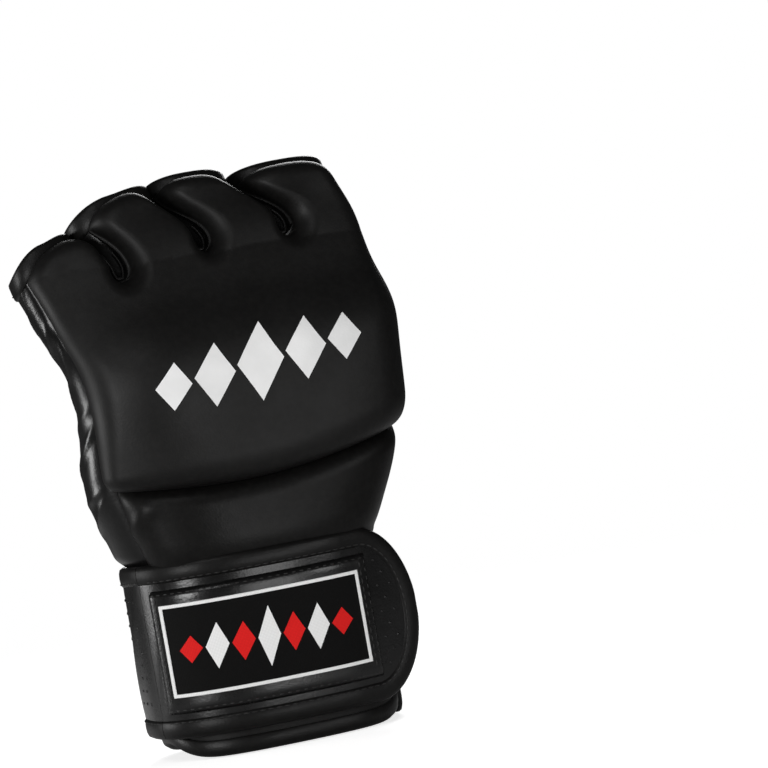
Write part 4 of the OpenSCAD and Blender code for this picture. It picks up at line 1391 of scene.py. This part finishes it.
class GLOVE_OT_strap_flap(bpy.types.Operator):
    """Builds the closing flap with its tab, binding, raised panel and label"""
    bl_idname = "glove.strap_flap"
    bl_label = "Closing flap and label"

    def execute(self, context):
        round_end = np.sin(np.radians(np.linspace(0.0, 86.0, 26)[1:]))
        q = np.concatenate([np.linspace(0.2, TAB_Q, 100), TAB_Q + (TIP_Q - TAB_Q) * round_end])[:, None]
        v = steps(44, -1.0)[None, :]
        z = FLAP_MID + v * (flap_half(q) - 0.8)
        t = FLAP_FACE + FLAP_PUFF * roll((1.0 - np.abs(v)) / 0.3) + ridges(q, z, FLAP_FOLDS)
        flap = slab("flap_leather", wrap(q, z, t), wrap(q, z, STRAP_BACK), "strap")
        folded(flap, ("flap_cover", "flap_lining"))
        edge = flap_outline()
        folded(bind("flap_edge_binding", *edge), ("flap_binding",))
        sewn = edge[0] > 4.0
        q, z = inset(*edge, STITCH_IN)
        lines = [wrap_line(q[sewn], z[sewn], FLAP_STITCH)] + self.panel()
        q, z = dot_grid(TAB_Q - 2.0, TIP_Q, size_mm(context, "emboss_pitch"))
        keep = (np.abs(z - FLAP_MID) < flap_half(q) - DOTS_IN) & (q > LABEL_Q + 47.0) & (q < TIP_Q - 8.0)
        emboss("flap_embossing", q[keep], z[keep], FLAP_DOTS, "strap_flap")
        folded(stitches("flap_stitches", lines, size_mm(context, "stitch_pitch")))
        self.label()
        return {"FINISHED"}

    def panel(self):
        """Raised panel with rolled edges; gives its lines of stitches, round it and again at both ends."""
        u, v = steps(60, -1.0)[:, None], steps(36, -1.0)[None, :]
        half_w, half_h = PANEL_HALF
        rise = roll(np.minimum((1.0 - np.abs(u)) * half_w, (1.0 - np.abs(v)) * half_h) / PANEL_ROLL)
        q, z = LABEL_Q + u * half_w, PANEL_Z + v * half_h
        face, back = wrap(q, z, PANEL_EDGE + PANEL_RISE * rise), wrap(q, z, PANEL_BACK)
        raised = slab("label_panel_leather", face, back, "strap")
        settle(raised, "strap_flap", ("label_panel",))
        ends, sides = [], []
        for depth, t in PANEL_ROWS:
            w, h = half_w - depth, half_h - depth
            tall, wide = np.linspace(PANEL_Z - h, PANEL_Z + h, 40), np.linspace(LABEL_Q - w, LABEL_Q + w, 80)
            ends.append([wrap_line(LABEL_Q + side * w, tall, t) for side in (-1.0, 1.0)])
            sides.append([wrap_line(wide, PANEL_Z + side * h, t) for side in (-1.0, 1.0)])
        return ends[0] + sides[0] + ends[1]

    def label(self):
        """Woven label, its white border and a row of woven lozenges."""
        u, v = steps(60, -1.0)[:, None], steps(10, -1.0)[None, :]
        q, z = LABEL_Q + u * LABEL_HALF[0], LABEL_Z + v * LABEL_HALF[1]
        patch = slab("label_cloth", *(wrap(q, z, t) for t in LABEL_FACES), "label")
        settle(patch, "strap_flap", ("label_patch",))
        side, one = steps(40, -1.0), np.ones(40)
        across = np.concatenate([side, one, -side, -one])[:, None]
        up = np.concatenate([-one, side, one, -side])[:, None]
        depth, t = BORDER_PROFILE.T
        rings = wrap(LABEL_Q + across * (BORDER_HALF[0] - depth), LABEL_Z + up * (BORDER_HALF[1] - depth), t)
        border = sweep("label_border_yarn", rings, "white", True)
        settle(border, "strap_flap", ("label_border",))
        for k in range(7):
            half = YARN_TALL[3 - abs(k - 3)]
            q, z = lozenge((LABEL_Q + (k - 3) * YARN_PITCH, LABEL_Z), YARN_WIDE, half, YARN_LEAN)
            yarn = slab("label_yarn_%d" % k, *(wrap(q, z, t) for t in YARN_FACES), ("red", "white")[k % 2])
            settle(yarn, "strap_flap")


class GLOVE_OT_tapes(bpy.types.Operator):
    """Finishes the hook and loop tapes that stay from the frame"""
    bl_idname = "glove.tapes"
    bl_label = "Hook and loop"

    def execute(self, context):
        for tape in ("loop", "hook"):
            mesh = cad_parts[tape + "_patch"].data
            mesh.materials.clear()
            mesh.materials.append(material(tape))
        return {"FINISHED"}


# Stage

class GLOVE_OT_stage(bpy.types.Operator):
    """Sets the floor, the soft studio light and the camera"""
    bl_idname = "glove.stage"
    bl_label = "Stage"

    def execute(self, context):
        scene = context.scene
        scene.view_settings.view_transform = "Standard"
        self.world(scene)
        self.floor(scene)
        for name, lamp in LAMPS.items():
            self.lamp(scene, name, *lamp)
        self.camera(scene)
        return {"FINISHED"}

    def world(self, scene):
        """Dim room light, pure white where the camera sees it."""
        scene.world = bpy.data.worlds.new("Studio")
        scene.world.use_nodes = True
        tree = scene.world.node_tree
        rays = tree.nodes.new("ShaderNodeLightPath").outputs
        seen = add_node(tree, "Math", {0: rays["Is Camera Ray"], 1: rays["Is Transmission Ray"]}, "Value",
                        operation="MAXIMUM")
        level = ramp(tree, seen, 0.0, 1.0, ROOM_LIGHT, 1.0)
        feed(tree, tree.nodes["Background"], {"Color": (1.0, 1.0, 1.0, 1.0), "Strength": level})

    def floor(self, scene):
        """Pale floor just under the cuff, fading into the white room."""
        mat, tree, shader, place = new_material("Pale floor")
        camera_ray = add_node(tree, "LightPath", {}, "Is Camera Ray")
        glow = add_node(tree, "Math", {0: camera_ray, 1: FLOOR_GLOW}, "Value", operation="MULTIPLY")
        feed(tree, shader, {"Base Color": (0.9, 0.9, 0.9, 1.0), "Roughness": 0.9,
                            "Emission Color": (1.0, 1.0, 1.0, 1.0), "Emission Strength": glow})
        reach = add_node(tree, "VectorMath", {0: place}, "Value", operation="LENGTH")
        fade = {"Value": reach, "From Min": FLOOR_FADE[0], "From Max": FLOOR_FADE[1]}
        away = add_node(tree, "MapRange", fade, "Result", interpolation_type="SMOOTHSTEP")
        clear = add_node(tree, "BsdfTransparent", {}, "BSDF")
        both = add_node(tree, "MixShader", {"Fac": away, 1: shader.outputs["BSDF"], 2: clear}, "Shader")
        feed(tree, tree.nodes["Material Output"], {"Surface": both})
        mesh = bpy.data.meshes.new("floor")
        r, z = FLOOR_HALF, FLOOR_Z
        mesh.from_pydata([(-r, -r, z), (r, -r, z), (r, r, z), (-r, r, z)], [], [(0, 1, 2, 3)])
        mesh.materials.append(mat)
        floor = bpy.data.objects.new("floor", mesh)
        scene.collection.objects.link(floor)

    def lamp(self, scene, name, place, width, power, aim):
        """Square area lamp turned towards a point."""
        data = bpy.data.lights.new(name, "AREA")
        data.size, data.energy = width, power
        lamp = bpy.data.objects.new(name, data)
        scene.collection.objects.link(lamp)
        way = np.array(aim) - np.array(place)
        lamp.location = place
        lamp.rotation_euler = (math.acos(-way[2] / np.linalg.norm(way)), 0.0,
                               math.atan2(way[1], way[0]) - math.pi / 2.0)

    def camera(self, scene):
        """Long lens from the little-finger side of the back, rolled so that the glove leans to the left."""
        azimuth, rise, lean = np.radians(CAMERA_ANGLES)
        right = np.array([math.cos(azimuth), math.sin(azimuth), 0.0])
        ahead = np.array([-math.sin(azimuth), math.cos(azimuth), 0.0]) * math.cos(rise)
        ahead = ahead - np.array([0.0, 0.0, math.sin(rise)])
        up = np.cross(right, ahead)
        data = bpy.data.cameras.new("Camera")
        data.sensor_width = 36.0
        data.lens = data.sensor_width * CAMERA_DISTANCE / FRAME_WIDTH
        data.clip_end = 20.0
        camera = bpy.data.objects.new("Camera", data)
        scene.collection.objects.link(camera)
        rows = np.eye(4)
        rows[:3, 0] = right * math.cos(lean) - up * math.sin(lean)
        rows[:3, 1] = right * math.sin(lean) + up * math.cos(lean)
        rows[:3, 2] = -ahead
        rows[:3, 3] = CAMERA_SIDE * right + np.array([0.0, 0.0, CAMERA_Z]) - ahead * CAMERA_DISTANCE
        camera.matrix_world = Matrix(rows.tolist())
        scene.camera = camera


STEPS = (
    GLOVE_OT_cuff, GLOVE_OT_palm_strap, GLOVE_OT_strap_flap, GLOVE_OT_tapes, GLOVE_OT_lining,
    GLOVE_OT_backhand_pad, GLOVE_OT_knuckle_pad, GLOVE_OT_palm_leather, GLOVE_OT_opening_welt,
    GLOVE_OT_side_panels, GLOVE_OT_finger_sleeves, GLOVE_OT_stage,
)


class GLOVE_PT_build(bpy.types.Panel):
    """Lists the glove's building steps, sizes and colours"""
    bl_idname = "GLOVE_PT_build"
    bl_label = "Grappling glove"
    bl_space_type = "VIEW_3D"
    bl_region_type = "UI"
    bl_category = "Glove"

    def draw(self, context):
        column = self.layout.column(align=True)
        for step in STEPS:
            column.operator(step.bl_idname)
        for group in (context.scene.glove_sizes, context.scene.glove_colours):
            box = self.layout.box()
            for key in group.__annotations__:
                box.prop(group, key)


CLASSES = (GloveSizes, GloveColours, GLOVE_PT_build) + STEPS


def register():
    """Registers the classes and gives every scene its sizes and colours."""
    for cls in CLASSES:
        bpy.utils.register_class(cls)
    bpy.types.Scene.glove_sizes = bpy.props.PointerProperty(type=GloveSizes)
    bpy.types.Scene.glove_colours = bpy.props.PointerProperty(type=GloveColours)


def unregister():
    """Takes back what register did, in the opposite order."""
    del bpy.types.Scene.glove_colours
    del bpy.types.Scene.glove_sizes
    for cls in reversed(CLASSES):
        bpy.utils.unregister_class(cls)


def main():
    """Builds the glove step by step."""
    register()
    for step in STEPS:
        group, name = step.bl_idname.split(".")
        if getattr(getattr(bpy.ops, group), name)() != {"FINISHED"}:
            raise RuntimeError("step did not finish: " + step.bl_idname)


if __name__ == "__main__":
    main()
